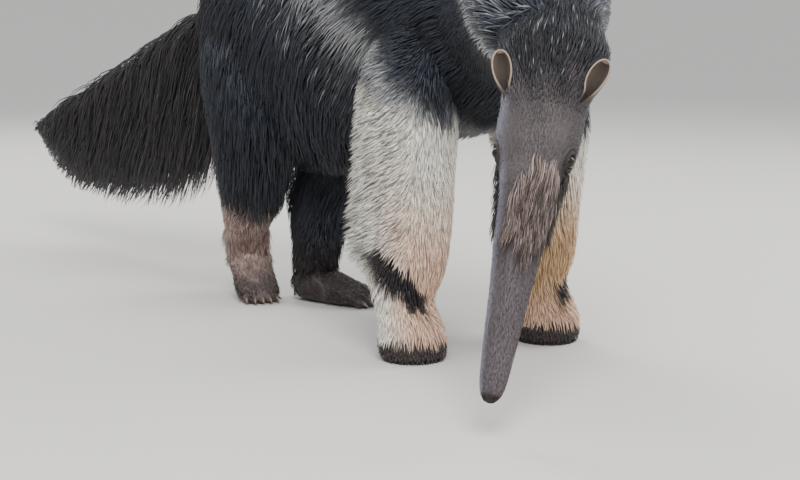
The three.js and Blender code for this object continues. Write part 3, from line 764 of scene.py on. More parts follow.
def add_form(bm, form, rings, sides, domes=(0.0, 0.0), floor=False):
    """A sphere drawn out into the form's skin, with a dome at each end."""
    made = bmesh.ops.create_uvsphere(bm, u_segments=sides, v_segments=rings + 1, radius=1)
    verts = made["verts"]
    ball = np.array([v.co for v in verts])
    ring = np.rint(np.arccos(np.clip(ball[:, 2], -1, 1)) / np.pi * (rings + 1)).astype(int)
    t = np.clip((ring - 1) / (rings - 1), 0, 1)
    pole = (ring == 0) | (ring == rings + 1)
    points = form.point(t, np.degrees(np.arctan2(ball[:, 1], ball[:, 0])), 0.0)
    along = form.axes(t)[0]
    dome = np.where(ring == 0, -domes[0], 0) + np.where(ring == rings + 1, domes[1], 0)
    centre = form.spline(form.path, t) + along * dome[:, None]
    points = np.where(pole[:, None], centre, points)
    if floor:
        points[:, 2] = np.maximum(points[:, 2], SKIN_OVER_GROUND)
    set_places(verts, points)


def add_ball(bm, centre, sizes):
    made = bmesh.ops.create_icosphere(bm, subdivisions=3, radius=1)
    matrix = Matrix.Translation(Vector(centre)) @ Matrix.Diagonal((*sizes, 1))
    bmesh.ops.transform(bm, matrix=matrix, verts=made["verts"])


TOE_GAP = 11.0
TOE_ARCH = 2.2
TOE_IN = 5.0
TOE_SIZES = (6.4, 10.0, 8.0)
TOE_HEIGHT = 9.0


def toe_places(side):
    """Where the five toes of a hind foot end, the way they point, the way across, and their number."""
    form = FORMS[f"hindfoot_{side}"]
    along, _, across, _ = form.axes(np.array([0.92]))
    level = unit(along[0] * [1, 1, 0])
    tip = form.path[-1]
    places = []
    for step in (-2, -1, 0, 1, 2):
        root = tip + across[0] * step * TOE_GAP - level * TOE_ARCH * step * step
        places.append((root, level, across[0], step))
    return places


def toe_centres(side):
    return [np.array([*(root - level * TOE_IN)[:2], TOE_HEIGHT]) for root, level, _, _ in toe_places(side)]


def body_shell():
    """Every form of the body, still apart, as one mesh in body millimetres."""
    bm = bmesh.new()
    add_form(bm, FORMS["trunk"], 40, 48, domes=(14, 20))
    add_form(bm, FORMS["neck"], 20, 40, domes=(0, 10))
    add_form(bm, FORMS["face"], 60, 40, domes=(8, 4))
    add_form(bm, FORMS["tail"], 40, 32, domes=(0, 4))
    for side in SIDES:
        add_form(bm, FORMS[f"foreleg_{side}"], 44, 36, floor=True)
        add_form(bm, FORMS[f"hindleg_{side}"], 36, 36)
        add_form(bm, FORMS[f"hindfoot_{side}"], 24, 28, domes=(3, 2), floor=True)
        for centre in toe_centres(side):
            add_ball(bm, centre, (TOE_SIZES[0], TOE_SIZES[0], TOE_SIZES[2]))
    for face in bm.faces:
        face.smooth = True
    return mesh_from(bm, "shell")


def remeshed(mesh, voxel):
    """The same body as one closed skin of even quads."""
    holder = bpy.data.objects.new("shell", mesh)
    bpy.context.scene.collection.objects.link(holder)
    remesh = holder.modifiers.new("One skin", "REMESH")
    remesh.mode = "VOXEL"
    remesh.voxel_size = voxel
    graph = bpy.context.evaluated_depsgraph_get()
    whole = bpy.data.meshes.new_from_object(holder.evaluated_get(graph))
    bpy.data.objects.remove(holder)
    return whole


def face_share(points):
    """The share of the face's length at which each place lies."""
    return (points - FACE_TOP) @ FACE_AXIS / FACE_LENGTH


def refine(bm, inside):
    """Splits the faces for which inside(points) holds."""
    points = np.array([v.co for v in bm.verts])
    chosen = inside(points)
    bm.verts.index_update()
    edges = [e for e in bm.edges if chosen[e.verts[0].index] and chosen[e.verts[1].index]]
    bmesh.ops.subdivide_edges(bm, edges=edges, cuts=1, use_grid_fill=True)


def on_face(points):
    """The share of the face's length, and how far each place is from the face's axis."""
    share = face_share(points)
    aside = np.linalg.norm(points - (FACE_TOP + share[:, None] * FACE_AXIS * FACE_LENGTH), axis=1)
    return share, aside


def near_either(points, centre_of, reach):
    """True within reach of the centre on either side."""
    gaps = [np.linalg.norm(points - centre_of(side), axis=1) for side in SIDES]
    return np.minimum(*gaps) < reach


def near_eyes(points, reach):
    return near_either(points, eye_centre, reach)


def near_toes(points, reach):
    return near_either(points, lambda side: np.mean(toe_centres(side), 0), reach)


LID_OPENING = (7.2, 4.6)
LID_REACH = 24.0
MOUTH_ANGLE = -32.0
MOUTH_DEPTH = 2.2
NOSTRIL_PLACE = 0.985
NOSTRIL_ANGLE = 38.0
NOSTRIL_DEPTH = 4.2
FOLD_DEPTH = 0.22
BROW_RIDGE = 1.6


def with_lids(part, side):
    """Presses the hollow of an eye into the head, with a rim and a fold round it."""
    out = FACE.normal(face_t(EYE_PLACE), side_angle(side, EYE_ANGLE), 1.0)
    gap = part - eye_centre(side)
    gap_out = gap @ out
    flat = gap - gap_out[:, None] * out
    lengthwise = flat @ FACE_AXIS
    across = np.sqrt(np.maximum((flat**2).sum(-1) - lengthwise**2, 0))
    ring = np.hypot(lengthwise / LID_OPENING[0], across / LID_OPENING[1])
    near = (np.linalg.norm(flat, axis=1) < LID_REACH) & (gap_out > -10)
    lid = 2.4 * bump_at(1.35, 0.34, ring) + 1.3 * bump_at(2.3, 0.35, ring)
    hollow = -7.5 * smooth(1.08, 0.82, ring) - 1.2 * bump_at(1.85, 0.25, ring)
    return part + out * (np.where(near, lid + hollow, 0))[:, None]


def shape_head(points):
    """Moves the vertices of the head onto its form, and adds lids, mouth and nostrils."""
    share, aside = on_face(points)
    chosen = np.flatnonzero((share > 0.06) & (aside < 75))
    part = points[chosen]
    share = share[chosen]
    t = np.interp(share, FACE_SHARES, np.linspace(0, 1, len(FACE_SHARES)))
    _, up, side, _ = FACE.axes(t)
    middle = FACE.spline(FACE.path, t)
    reach = FACE.spline(FACE.bare, t)
    x = ((part - middle) * side).sum(-1)
    y = ((part - middle) * up).sum(-1)
    angle = np.degrees(np.arctan2(y / np.where(y > 0, reach[:, 1], reach[:, 2]), x / reach[:, 0]))
    normal = FACE.normal(t, angle)
    target = FACE.point(t, angle)
    weight = smooth(0.08, 0.2, share) * smooth(1.0, 0.965, share)
    part = part + (target - part) * weight[:, None]
    for name in SIDES:
        part = with_lids(part, name)
    radius = np.linalg.norm(target - middle, axis=1)
    mouth_start = 1 - MOUTH_LENGTH / FACE_LENGTH
    along_mouth = smooth(mouth_start, mouth_start + 0.02, share)
    for name in SIDES:
        turn = (angle - side_angle(name, MOUTH_ANGLE) + 180) % 360 - 180
        gap = np.radians(turn) * radius
        groove = 0.9 * bump_at(3.0, 1.5, np.abs(gap)) - MOUTH_DEPTH * bump_at(0, 1.3, gap)
        part = part + normal * (groove * along_mouth)[:, None]
        nostril = FACE.point(NOSTRIL_PLACE, side_angle(name, NOSTRIL_ANGLE))
        gap = np.linalg.norm(part - nostril, axis=1)
        pit = NOSTRIL_DEPTH * bump_at(0, 2.6, gap) - 0.8 * bump_at(4.6, 1.2, gap)
        part = part - normal * pit[:, None]
    folds = FOLD_DEPTH * np.sin(share * FACE_LENGTH * 1.1 + 2 * EDGE_DRIFT(part)) * smooth(0.5, 0.6, share)
    at_the_side = smooth(25, 50, 90 - np.abs(angle - 90)) * np.abs(np.cos(np.radians(angle)))
    brow = BROW_RIDGE * bump_at(0.27, 0.05, share) * at_the_side
    points[chosen] = part + normal * (folds * smooth(0.99, 0.95, share) + brow)[:, None]
    return points


def shape_toes(points):
    """Draws the skin round each toe of the hind feet, with a crease between the toes."""
    for side in SIDES:
        _, level, across, _ = toe_places(side)[0]
        toe_axes = np.array([across, level, [0, 0, 1]])
        centres = np.array(toe_centres(side))
        chosen = np.flatnonzero(np.linalg.norm(points - centres.mean(0), axis=1) < 45)
        part = points[chosen]
        local = (part[:, None] - centres[None]) @ toe_axes.T / np.array(TOE_SIZES)
        size = np.linalg.norm(local, axis=2)
        near = size.argmin(1)
        rows = np.arange(len(part))
        size = size[rows, near]
        target = local[rows, near] / size[:, None] * np.array(TOE_SIZES)
        target = target @ toe_axes + centres[near]
        weight = smooth(1.7, 1.05, size)
        points[chosen] = part + (target - part) * weight[:, None]
    points[:, 2] = np.maximum(points[:, 2], SKIN_OVER_GROUND)
    return points


def nearest_form(points):
    """For each place the name of the form it belongs to, with its share, angle and depth."""
    names = list(FORMS)
    found = [FORMS[name].locate(points) for name in names]
    depth = np.array([spot[2] for spot in found])
    best = depth.argmax(0)
    t = np.choose(best, [spot[0] for spot in found])
    angle = np.choose(best, [spot[1] for spot in found])
    return np.array(names)[best], t, angle


# Painted shade: the skin of neck and trunk is darkened where it shows between the long hair.
BODY_SKIN_PAINTED_SHADE = 0.55


def skin_colours(points):
    """The coat's markings, with painted shade on neck and trunk: darker there, where the skin shows between
    long hair.
    """
    names, t, angle = nearest_form(points)
    colours = np.zeros((len(points), 3))
    for name in FORMS:
        rows = names == name
        colour, ticks, freckles = markings(name, points[rows], t[rows], angle[rows])
        colour = mix(colour, PALE_TICK * 0.5, 0.25 * ticks)
        # Painted shade on the skin of neck and trunk.
        shade = BODY_SKIN_PAINTED_SHADE if name in ("neck", "trunk") else 1.0
        colours[rows] = mix(colour, FRECKLE, 0.5 * freckles) * shade
    return colours


FLESH = (
    "torso",
    "neck",
    "head",
    "snout",
    *(f"{part}_{side}" for part in ("foreleg", "forefoot") for side in SIDES),
    *(f"{part}_{side}" for part in ("hindleg", "hindshank", "hindfoot") for side in SIDES),
    "tail_root",
    "tail_middle",
    "tail_tip",
)


def build_skin(voxel):
    mesh = remeshed(body_shell(), voxel / MM)
    bm = bmesh.new()
    bm.from_mesh(mesh)
    axes = {"use_axis_x": True, "use_axis_y": True, "use_axis_z": True}
    for _ in range(4):
        bmesh.ops.smooth_vert(bm, verts=bm.verts, factor=0.5, **axes)
    refine(bm, lambda p: ((on_face(p)[0] > 0.1) & (on_face(p)[1] < 70)) | near_toes(p, 42))
    refine(bm, lambda p: near_eyes(p, 24) | (on_face(p)[0] > 0.87) | near_toes(p, 36))
    refine(bm, lambda p: near_eyes(p, 14))
    set_places(bm.verts, shape_toes(shape_head(np.array([v.co for v in bm.verts]))))
    bmesh.ops.triangulate(bm, faces=[f for f in bm.faces if len(f.verts) > 4])
    bm.to_mesh(mesh)
    bm.free()
    colours = skin_colours(read_points(mesh))
    finish_piece("skin", mesh, colours, "Skin under short hair", FLESH)


PUPIL = np.array([0.004, 0.003, 0.003])
IRIS = np.array([0.018, 0.009, 0.005])
EYE_EDGE = np.array([0.008, 0.005, 0.004])


def build_eye(side):
    """A ball with a low cornea, turned to look straight out of the head."""
    bm = bmesh.new()
    bmesh.ops.create_uvsphere(bm, u_segments=40, v_segments=24, radius=1)
    out = Vector(FACE.normal(face_t(EYE_PLACE), side_angle(side, EYE_ANGLE), 1.0))
    ball = np.array([v.co for v in bm.verts])
    gaze = np.arccos(np.clip(ball[:, 2], -1, 1))
    swell = 1 + 0.07 * smooth(0.75, 0.35, gaze)
    for vert, grown in zip(bm.verts, swell):
        vert.co *= EYE_RADIUS * 0.94 * grown
    bmesh.ops.transform(bm, matrix=out.to_track_quat("Z", "Y").to_matrix().to_4x4(), verts=bm.verts)
    bmesh.ops.translate(bm, vec=Vector(eye_centre(side) - np.array(out) * 0.8), verts=bm.verts)
    colours = mix(mix(PUPIL, IRIS, smooth(0.28, 0.36, gaze)), EYE_EDGE, smooth(0.6, 0.7, gaze))
    finish_piece(f"eyeball_{side}", mesh_from(bm), colours, "Wet dark eye", [f"eye_{side}"])


EAR_KNOTS = (-0.12, 0.12, 0.28, 0.42, 0.55, 0.66)
EAR_WIDTHS = (3.6, 4.0, 5.4, 7.8, 9.1, 9.4)
EAR_DEPTHS = (3.4, 3.8, 4.9, 6.6, 7.6, 7.8)
EAR_OPEN = (172, 160, 128, 106, 98, 95)
EAR_FORWARD = (0.0, 2.0, 7.0, 11.5, 13.5, 14.0)
EAR_ROUND_FROM = EAR_KNOTS[-1]
EAR_STEM = -EAR_KNOTS[0]
# Painted shade for the deep middle of an ear's cup.
EAR_INNER_SHADE = np.array([0.03, 0.022, 0.017])
EAR_INNER = np.array([0.115, 0.08, 0.058])
EAR_BACK = np.array([0.12, 0.1, 0.09])
EAR_RIM = np.array([0.29, 0.235, 0.19])
EAR_ROOT = np.array([0.06, 0.045, 0.04])


def ear_axes(side):
    """Where an ear stands, and the ways up, forward and across it and out of the head."""
    angle = side_angle(side, EAR_ANGLE[side])
    t = face_t(EAR_PLACE[side])
    along, up, _, _ = FACE.axes(np.array(t))
    outward = FACE.normal(t, angle, 1.0)
    base = FACE.point(t, angle, 1.0) + outward * EAR_DEPTH[side]
    rise = unit(-along + outward * EAR_LEAN[side])
    front = unit(up - rise * (up @ rise))
    return base, rise, front, np.cross(rise, front), outward


def ear_section(up_share):
    """Half width, depth and half angle of the cup's wall, with the top rounded to a point."""
    top = np.clip((up_share - EAR_ROUND_FROM) / (1 - EAR_ROUND_FROM), 0, 1)
    rounded = np.sqrt(np.maximum(1 - top**2, 0.002))
    width = np.interp(up_share, EAR_KNOTS, EAR_WIDTHS) * rounded
    depth = np.interp(up_share, EAR_KNOTS, EAR_DEPTHS) * rounded
    return width, depth, np.interp(up_share, EAR_KNOTS, EAR_OPEN)


def ear_outset(up_share):
    """How far the ear stands off the head at each height, with its stem sunk in."""
    return 5 * up_share - 7 * smooth(0.32, -0.05, up_share)


def ear_points(side, across_share, up_share):
    """A cupped leaf: a tube at its stem that opens towards the tip."""
    base, rise, front, across, outward = ear_axes(side)
    width, depth, half_angle = ear_section(up_share)
    turn = np.radians(across_share * half_angle)
    x = np.sin(turn) * width
    y = -np.cos(turn) * depth + np.interp(up_share, EAR_KNOTS, EAR_FORWARD)
    lift = (up_share * EAR_LENGTH)[..., None] * rise + ear_outset(up_share)[..., None] * outward
    return base + lift + x[..., None] * across + y[..., None] * front


def ear_colours(side, points):
    """Brown inside the cup, darkened towards its deep middle with painted shade, grey-brown behind, with a
    thin pale rim.
    """
    base, rise, front, across, outward = ear_axes(side)
    offset = points - base
    up_share = (offset @ rise) / EAR_LENGTH
    offset = offset - ear_outset(up_share)[:, None] * outward
    width, depth, half_angle = ear_section(up_share)
    x = (offset @ across) / width
    y = (offset @ front - np.interp(up_share, EAR_KNOTS, EAR_FORWARD)) / depth
    spread = np.degrees(np.abs(np.arctan2(x, -y))) / half_angle
    rim = np.maximum(smooth(0.88, 0.98, spread), smooth(0.975, 0.995, up_share))
    rim = rim * smooth(0.15, 0.35, up_share)
    inside = (np.hypot(x, y) < 1.06) | (up_share > 0.84)
    # Painted shade: darker towards the deep middle of the cup.
    inner = mix(EAR_INNER_SHADE, EAR_INNER, smooth(0.15, 0.9, spread))
    colours = mix(np.where(inside[:, None], inner, EAR_BACK), EAR_RIM, rim)
    return mix(colours, EAR_ROOT, smooth(0.35, 0.05, up_share))


def build_ear(side, wall):
    """A grid bent into the ear's cup, closer together towards the tip, and given its wall."""
    bm = bmesh.new()
    bmesh.ops.create_grid(bm, x_segments=40, y_segments=36, size=1)
    sheet = np.array([v.co for v in bm.verts])
    up_share = (1 - (1 - (sheet[:, 1] + 1) / 2) ** 1.7) * (1 + EAR_STEM) - EAR_STEM
    set_places(bm.verts, ear_points(side, sheet[:, 0], up_share))
    bmesh.ops.recalc_face_normals(bm, faces=bm.faces)
    bmesh.ops.solidify(bm, geom=bm.faces, thickness=wall / MM)
    bmesh.ops.recalc_face_normals(bm, faces=bm.faces)
    mesh = mesh_from(bm)
    colours = ear_colours(side, read_points(mesh))
    finish_piece(f"ear_cup_{side}", mesh, colours, "Skin under short hair", [f"ear_{side}"])


# Claws

INWARD = {"right": 1.0, "left": -1.0}
FORE_CLAW_GAP = 19.0
FORE_CLAW_HEIGHT = 20.0
HIND_CLAW_HEIGHT = 11.0
CLAW_TIP = 0.06
CLAW_STEPS = 14
CLAW_WIDTH = 0.75
CLAW_TAPER = ((0, 0.25, 0.5, 0.75, 0.93, 1), (1, 0.95, 0.78, 0.5, 0.2, 0.07))
CLAW_ROOT = np.array([0.05, 0.04, 0.034])
CLAW_HORN = np.array([0.24, 0.19, 0.14])


def claw_list(side, fore):
    """Root, heading, bend, length and radius of each claw of a foot."""
    claws = []
    if fore:
        form = FORMS[f"foreleg_{side}"]
        foot = form.spline(form.path, np.array(0.93))
        inward = INWARD[side]
        heading = np.array([inward * 0.66, 0.75, 0])
        beside = np.array([inward * 0.75, -0.66, 0])
        bend = np.array([inward * -0.16, 0.16, -0.14])
        for i, length in enumerate(FORE_CLAW):
            root = foot + heading * 12 + beside * (26 - FORE_CLAW_GAP * i)
            root[2] = FORE_CLAW_HEIGHT
            claws.append((root, heading, bend, length, FORE_CLAW_RADIUS[i]))
        return claws
    for root, level, across, step in toe_places(side):
        root = np.array([*root[:2], HIND_CLAW_HEIGHT]) - level * 6
        heading = level + across * step * 0.08
        claws.append((root, heading, np.array([0, 0, -0.3]), HIND_CLAW, HIND_CLAW_RADIUS))
    return claws


def add_cut_cone(bm, segments, tip, steps):
    """A cone one unit long round the origin, cut across at even steps."""
    bmesh.ops.create_cone(bm, cap_ends=True, segments=segments, radius1=1, radius2=tip, depth=1)
    bmesh.ops.remove_doubles(bm, verts=bm.verts, dist=1e-5)
    for i in range(1, steps):
        geom = [*bm.verts, *bm.edges, *bm.faces]
        bmesh.ops.bisect_plane(bm, geom=geom, plane_co=(0, 0, i / steps - 0.5), plane_no=(0, 0, 1))


def add_claw(bm, root, heading, bend, length, radius):
    """A cone drawn along a bend, blunt at the tip, deeper than it is wide."""
    add_cut_cone(bm, 20, CLAW_TIP, CLAW_STEPS)
    outward = unit(-np.array(bend))
    for vert in bm.verts:
        share = vert.co.z + 0.5
        cone = 1 - (1 - CLAW_TIP) * share
        size = max(1e-3, np.hypot(vert.co.x, vert.co.y) / cone)
        taper = np.interp(share, *CLAW_TAPER) * size
        turn = math.atan2(vert.co.y, vert.co.x)
        centre = root + heading * share * length + bend * share * share * length
        along = unit(heading + 2 * share * bend)
        across = unit(np.cross(along, outward))
        outer = np.cross(across, along)
        place = centre + across * math.cos(turn) * radius * CLAW_WIDTH * taper
        vert.co = place + outer * math.sin(turn) * radius * taper
    bmesh.ops.recalc_face_normals(bm, faces=bm.faces)


def build_claws(side, fore):
    """The claws of one foot as one piece, darker at their roots."""
    bm = bmesh.new()
    claws = claw_list(side, fore)
    shares = []
    for claw in claws:
        root, heading, _, length, _ = claw
        part = bmesh.new()
        add_claw(part, *claw)
        shares += [((np.array(v.co) - root) @ unit(heading)) / length for v in part.verts]
        piece = mesh_from(part)
        bm.from_mesh(piece)
        bpy.data.meshes.remove(piece)
    colours = mix(CLAW_ROOT, CLAW_HORN, smooth(0.2, 1.0, np.array(shares)))
    foot = f"{'fore' if fore else 'hind'}_{side}"
    nodes = [f"claw_{foot}_{i + 1}" for i in range(len(claws))]
    finish_piece(f"claws_{foot}", mesh_from(bm), colours, "Worn horn", nodes)


# Coat

TRIANGLES_A_PIECE = 190000
BAKE_PATCH = 0.003
ROOT_DEPTH = 2.0
STRAND_DEPTH = 0.45
STRAND_TAPER = ((0, 0.25, 0.6, 1), (0.75, 1, 0.8, 0.0))
PAST_BELOW = 12.0
BELOW = -90.0


def strand_pattern(steps):
    """One strand as a cone of three sides cut into steps, read as levels, corners and triangles."""
    bm = bmesh.new()
    add_cut_cone(bm, 3, 0, steps)
    bmesh.ops.triangulate(bm, faces=bm.faces)
    bmesh.ops.recalc_face_normals(bm, faces=bm.faces)
    places = np.array([v.co for v in bm.verts])
    bm.verts.index_update()
    corners = np.array([[v.index for v in f.verts] for f in bm.faces])
    bm.free()
    level = np.rint((places[:, 2] + 0.5) * steps).astype(int)
    turn = np.arctan2(places[:, 1], places[:, 0])
    turn = turn - turn[level == 0][0] + np.pi / 2
    tip = level == steps
    return level, np.where(tip, 0, np.cos(turn)), np.where(tip, 0, np.sin(turn)), corners


def spread_roots(form, spacing, rng, span, angles):
    """Places on the form's skin about one spacing apart, each moved a little."""
    steps = np.linspace(span[0], span[1], 200)
    rate = form.axes(steps)[3]
    length = np.concatenate([[0], np.cumsum((rate[1:] + rate[:-1]) / 2 * np.diff(steps))])
    rows = max(2, int(length[-1] / spacing))
    t_all, angle_all = [], []
    round_it = np.linspace(angles[0], angles[1], 97)
    for i in range(rows):
        t = np.interp((i + 0.5) / rows * length[-1], length, steps)
        ring = form.point(t, round_it, 0.3)
        walk = np.concatenate([[0], np.cumsum(np.linalg.norm(np.diff(ring, axis=0), axis=1))])
        count = int(walk[-1] / spacing)
        if count < 1:
            continue
        place = (np.arange(count) + 0.5 * (i % 2) + rng.uniform(-0.38, 0.38, count)) / count * walk[-1]
        angle_all.append(np.interp(place % walk[-1], walk, round_it))
        t_all.append(t + rng.uniform(-0.4, 0.4, count) * spacing / np.interp(t, steps, rate))
    return np.clip(np.concatenate(t_all), span[0], span[1]), np.concatenate(angle_all)


BURIED_AT = 5.0
BURIED_AT_NAPE = 22.0


def clear_of(points, own):
    """True for roots that don't lie well under the skin of another part."""
    free = np.ones(len(points), bool)
    for name, form in FORMS.items():
        if name != own:
            allowance = BURIED_AT_NAPE if {name, own} == {"neck", "face"} else BURIED_AT
            free &= form.locate(points)[2] < allowance
    return free


def even(value):
    """The same length or heading of hair everywhere."""
    return lambda t, angle, points: value + 0 * t


def to_the_end(t):
    """Hair that lies towards the end of its form."""
    return 1 + 0 * t


def to_the_start(t):
    """Hair that lies back towards the start of its form."""
    return 0 * t - 1


@dataclass
class Fur:
    """How the hair of one part grows: sizes in millimetres, heading in degrees.

    Heading 0 lies along the form and 90 falls straight down its sides. Where aim is given, it
    is the angle that the tips reach instead. Last is the share of the form's length at which
    strands are cut off, a little unevenly by the jitter. Reach is how far the tips rise, from
    the skin, 0, to the outline of the coat, 1. Clump draws strands together into locks.
    """

    length: Callable
    wide: float
    steps: int
    heading: Callable = even(0)
    aim: Callable = None
    forward: Callable = to_the_end
    last: float = 2.0
    jitter: float = 0.02
    round_from: float = None
    reach: tuple = (0.75, 1.0)
    rise: float = 0.7
    wave: float = 0.0
    waves: float = 1.5
    clump: float = 0.0
    clump_size: float = 20.0
    vary: float = 0.2
    mottle: float = 0.2
    tone: Callable = None
    # Painted shade: how dark a strand is at its root, for the shade between the hairs.
    root_painted_shade: float = 0.6
    band: float = 0.3


FLOW_TURN = 8.0
FLOW_DRIFT = Drift(8, 110)
WAVE_DRIFT = Drift(9, 60)


def strand_course(form, t, angle, roots, fur, rng):
    """The shares of the length and the angles that each strand passes over."""
    count = len(t)
    share = np.linspace(0, 1, fur.steps + 1)[None, :] ** 1.1
    length = fur.length(t, angle, roots) * rng.uniform(1 - fur.vary, 1 + fur.vary, count)
    heading = fur.heading(t, angle, roots) + FLOW_TURN * FLOW_DRIFT(roots)
    heading = np.radians(heading + rng.normal(0, 5, count))
    middle = form.reach(t, 0.6)
    rise = np.sin(np.radians(angle))
    radius = np.where(rise > 0, middle[:, 1], middle[:, 2])
    radius = np.hypot(radius * np.cos(np.radians(angle)), middle[:, 0] * rise)
    rate = form.axes(t)[3]
    travel = fur.forward(t) * length * np.cos(heading) / rate
    travel = np.minimum(travel, fur.last - fur.jitter * rng.uniform(0, 1, count) - t)
    right = np.cos(np.radians(angle)) > 0
    start = np.where(right, (angle + 180) % 360 - 180, angle % 360)
    if fur.aim:
        turn = fur.aim(t, start, right) - start + rng.normal(0, 6, count)
    else:
        turn = np.degrees(length * np.sin(heading) / np.maximum(radius, 8)) * np.where(right, -1, 1)
    course = start[:, None] + turn[:, None] * share
    lowest = BELOW - PAST_BELOW
    course = np.where(right[:, None], np.maximum(course, lowest), np.minimum(course, 180 - lowest))
    return t[:, None] + travel[:, None] * share, course


def grow_strands(name, t, angle, fur, rng):
    """Centre lines, outward directions and roots of the strands rooted at t and angle."""
    form = FORMS[name]
    count = len(t)
    roots = form.point(t, angle, 0.0)
    share = np.linspace(0, 1, fur.steps + 1)[None, :]
    over, around = strand_course(form, t, angle, roots, fur, rng)
    reach = rng.uniform(*fur.reach, count)
    height = reach[:, None] * (1 - (1 - share) ** (1 / fur.rise))
    if fur.round_from:
        beyond = np.clip((over - fur.round_from) / (fur.last - fur.round_from), 0, 1)
        height = height * np.sqrt(np.maximum(1 - beyond**2, 0.02))
    points = form.point(over, around, height)
    outward = form.normal(over, around, height)
    along = unit(np.gradient(points, axis=1))
    across = unit(np.cross(along, outward))
    phase = 2.5 * WAVE_DRIFT(roots) + rng.normal(0, 0.35, count)
    swing = np.sin(2 * np.pi * fur.waves * share + phase[:, None]) * share
    points = points + across * (fur.wave * swing)[..., None]
    points = points + outward * (0.4 * fur.wave * np.cos(6 * share + phase[:, None]) * share)[..., None]
    if fur.clump > 0:
        points = gathered(points, roots, fur, share)
    points[:, 0] -= outward[:, 0] * ROOT_DEPTH
    points[..., 2] = np.maximum(points[..., 2], HAIR_OVER_GROUND)
    return points, outward, roots


def gathered(points, roots, fur, share):
    """Draws the tips of neighbouring strands together into locks."""
    cell = np.floor((roots + 3 * WAVE_DRIFT(roots)[:, None]) / fur.clump_size).astype(int)
    _, member = np.unique(cell, axis=0, return_inverse=True)
    member = member.ravel()
    size = np.bincount(member)
    centre = np.zeros((len(size), points.shape[1], 3))
    np.add.at(centre, member, points)
    centre /= size[:, None, None]
    pull = fur.clump * share[..., None] ** 1.6
    return points + (centre[member] - points) * pull


def strand_colours(marked, t, angle, fur, rng):
    """Colours up each strand: darker at the root as painted shade between the hairs, with a pale band or a
    dark tip where it is ticked.
    """
    colour, ticks, freckles = marked
    count = len(t)
    share = np.linspace(0, 1, fur.steps + 1)[None, :]
    colour = colour * rng.uniform(1 - fur.mottle, 1 + fur.mottle, (count, 1))
    # Painted shade: each strand darker towards its root.
    shade = fur.root_painted_shade + (1 - fur.root_painted_shade) * share**0.8
    colours = colour[:, None] * shade[..., None]
    if fur.tone:
        colours = fur.tone(t, angle, share, rng)
    middle = rng.uniform(0.45, 1.0, (count, 1))
    pale = (rng.uniform(size=count) < ticks * 0.75) * rng.uniform(0.45, 1.0, count)
    colours = mix(colours, PALE_TICK, bump_at(middle, fur.band, share) * pale[:, None])
    dark = (rng.uniform(size=count) < freckles) * rng.uniform(0.7, 1.0, count)
    return mix(colours, FRECKLE, smooth(0.15, 0.5, share) * dark[:, None])


def strands_mesh(piece, points, outward, colours, wide, chart):
    """All the strands of a piece as one mesh of closed three-sided cones."""
    steps = points.shape[1] - 1
    level, cosine, sine, corners = strand_pattern(steps)
    count = len(points)
    along = unit(np.gradient(points, axis=1))
    across = unit(np.cross(along, outward))
    outer = np.cross(across, along)
    share = np.linspace(0, 1, steps + 1)
    taper = np.interp(share, *STRAND_TAPER)
    w = (wide[:, None] * taper[None])[:, level] / 2
    verts = (
        points[:, level]
        + across[:, level] * (w * cosine)[..., None]
        + outer[:, level] * (w * STRAND_DEPTH * sine)[..., None]
    )
    verts[..., 2] = np.maximum(verts[..., 2], STRAND_OVER_GROUND)
    triangles = (corners[None] + (np.arange(count) * len(level))[:, None, None]).reshape(-1, 3)
    mesh = bpy.data.meshes.new(piece)
    mesh.vertices.add(count * len(level))
    mesh.vertices.foreach_set("co", to_frame(verts.reshape(-1, 3)).ravel())
    mesh.loops.add(len(triangles) * 3)
    mesh.loops.foreach_set("vertex_index", triangles.ravel())
    mesh.polygons.add(len(triangles))
    mesh.polygons.foreach_set("loop_start", np.arange(len(triangles)) * 3)
    mesh.update(calc_edges=True)
    set_tint(mesh, colours[:, level].reshape(-1, 3))
    local_u = np.broadcast_to(cosine * 0.5 + 0.5, (count, len(level)))
    local_v = np.broadcast_to(share[level], (count, len(level)))
    seed_u = (np.arange(count) * 0.618 % 1.0)[:, None] * 50
    bake = np.stack([chart[:, :1] + local_u * BAKE_PATCH, chart[:, 1:] + local_v * BAKE_PATCH], -1)
    strand = np.stack([local_u + seed_u, local_v * 3 + seed_u], -1)
    for layer_name, values in (("OFBake", bake), ("strand", strand)):
        layer = mesh.uv_layers.new(name=layer_name)
        layer.uv.foreach_set("vector", values.reshape(-1, 2)[triangles.ravel()].astype(np.float32).ravel())
    return mesh


def build_coat(piece, points, outward, marked, t, angle, fur, rng):
    """Makes the strands one piece, or more where they would pass the limit of triangles."""
    colours = strand_colours(marked, t, angle, fur, rng)
    wide = fur.wide * rng.uniform(0.75, 1.25, len(t))
    chart = 0.01 + 0.975 * np.stack([(angle + 180) % 360 / 360, np.clip(t, 0, 1)], -1)
    per_strand = 6 * fur.steps - 2
    pieces = max(1, math.ceil(len(t) * per_strand / TRIANGLES_A_PIECE))
    order = np.argsort(t, kind="stable")
    for i, rows in enumerate(np.array_split(order, pieces)):
        label = piece if pieces == 1 else f"{piece}_{i + 1}"
        mesh = strands_mesh(label, points[rows], outward[rows], colours[rows], wide[rows], chart[rows])
        make_object(label, mesh, "Hair")
    print(f"coat {piece}: {len(t)} strands, {len(t) * per_strand} triangles", flush=True)


WHOLE = (0.0, 1.0)
ALL_ROUND = (-180.0, 180.0)


def grow_coat(piece, name, fur, slot, seed, spacing, span=WHOLE, angles=ALL_ROUND, keep=None, buried=False):
    """Grows the hair of one form, with buried roots only where it comes out from under another."""
    rng = np.random.default_rng(seed + 100)
    t, angle = spread_roots(FORMS[name], spacing, rng, span, angles)
    roots = FORMS[name].point(t, angle, 0.0)
    free = np.ones(len(t), bool) if buried else clear_of(roots, name)
    if keep is not None:
        free &= keep(roots, t, angle)
    t, angle = t[free], angle[free]
    rng = np.random.default_rng(seed)
    points, outward, roots = grow_strands(name, t, angle, fur, rng)
    build_coat(piece, points, outward, markings(name, roots, t, angle), t, angle, fur, rng)


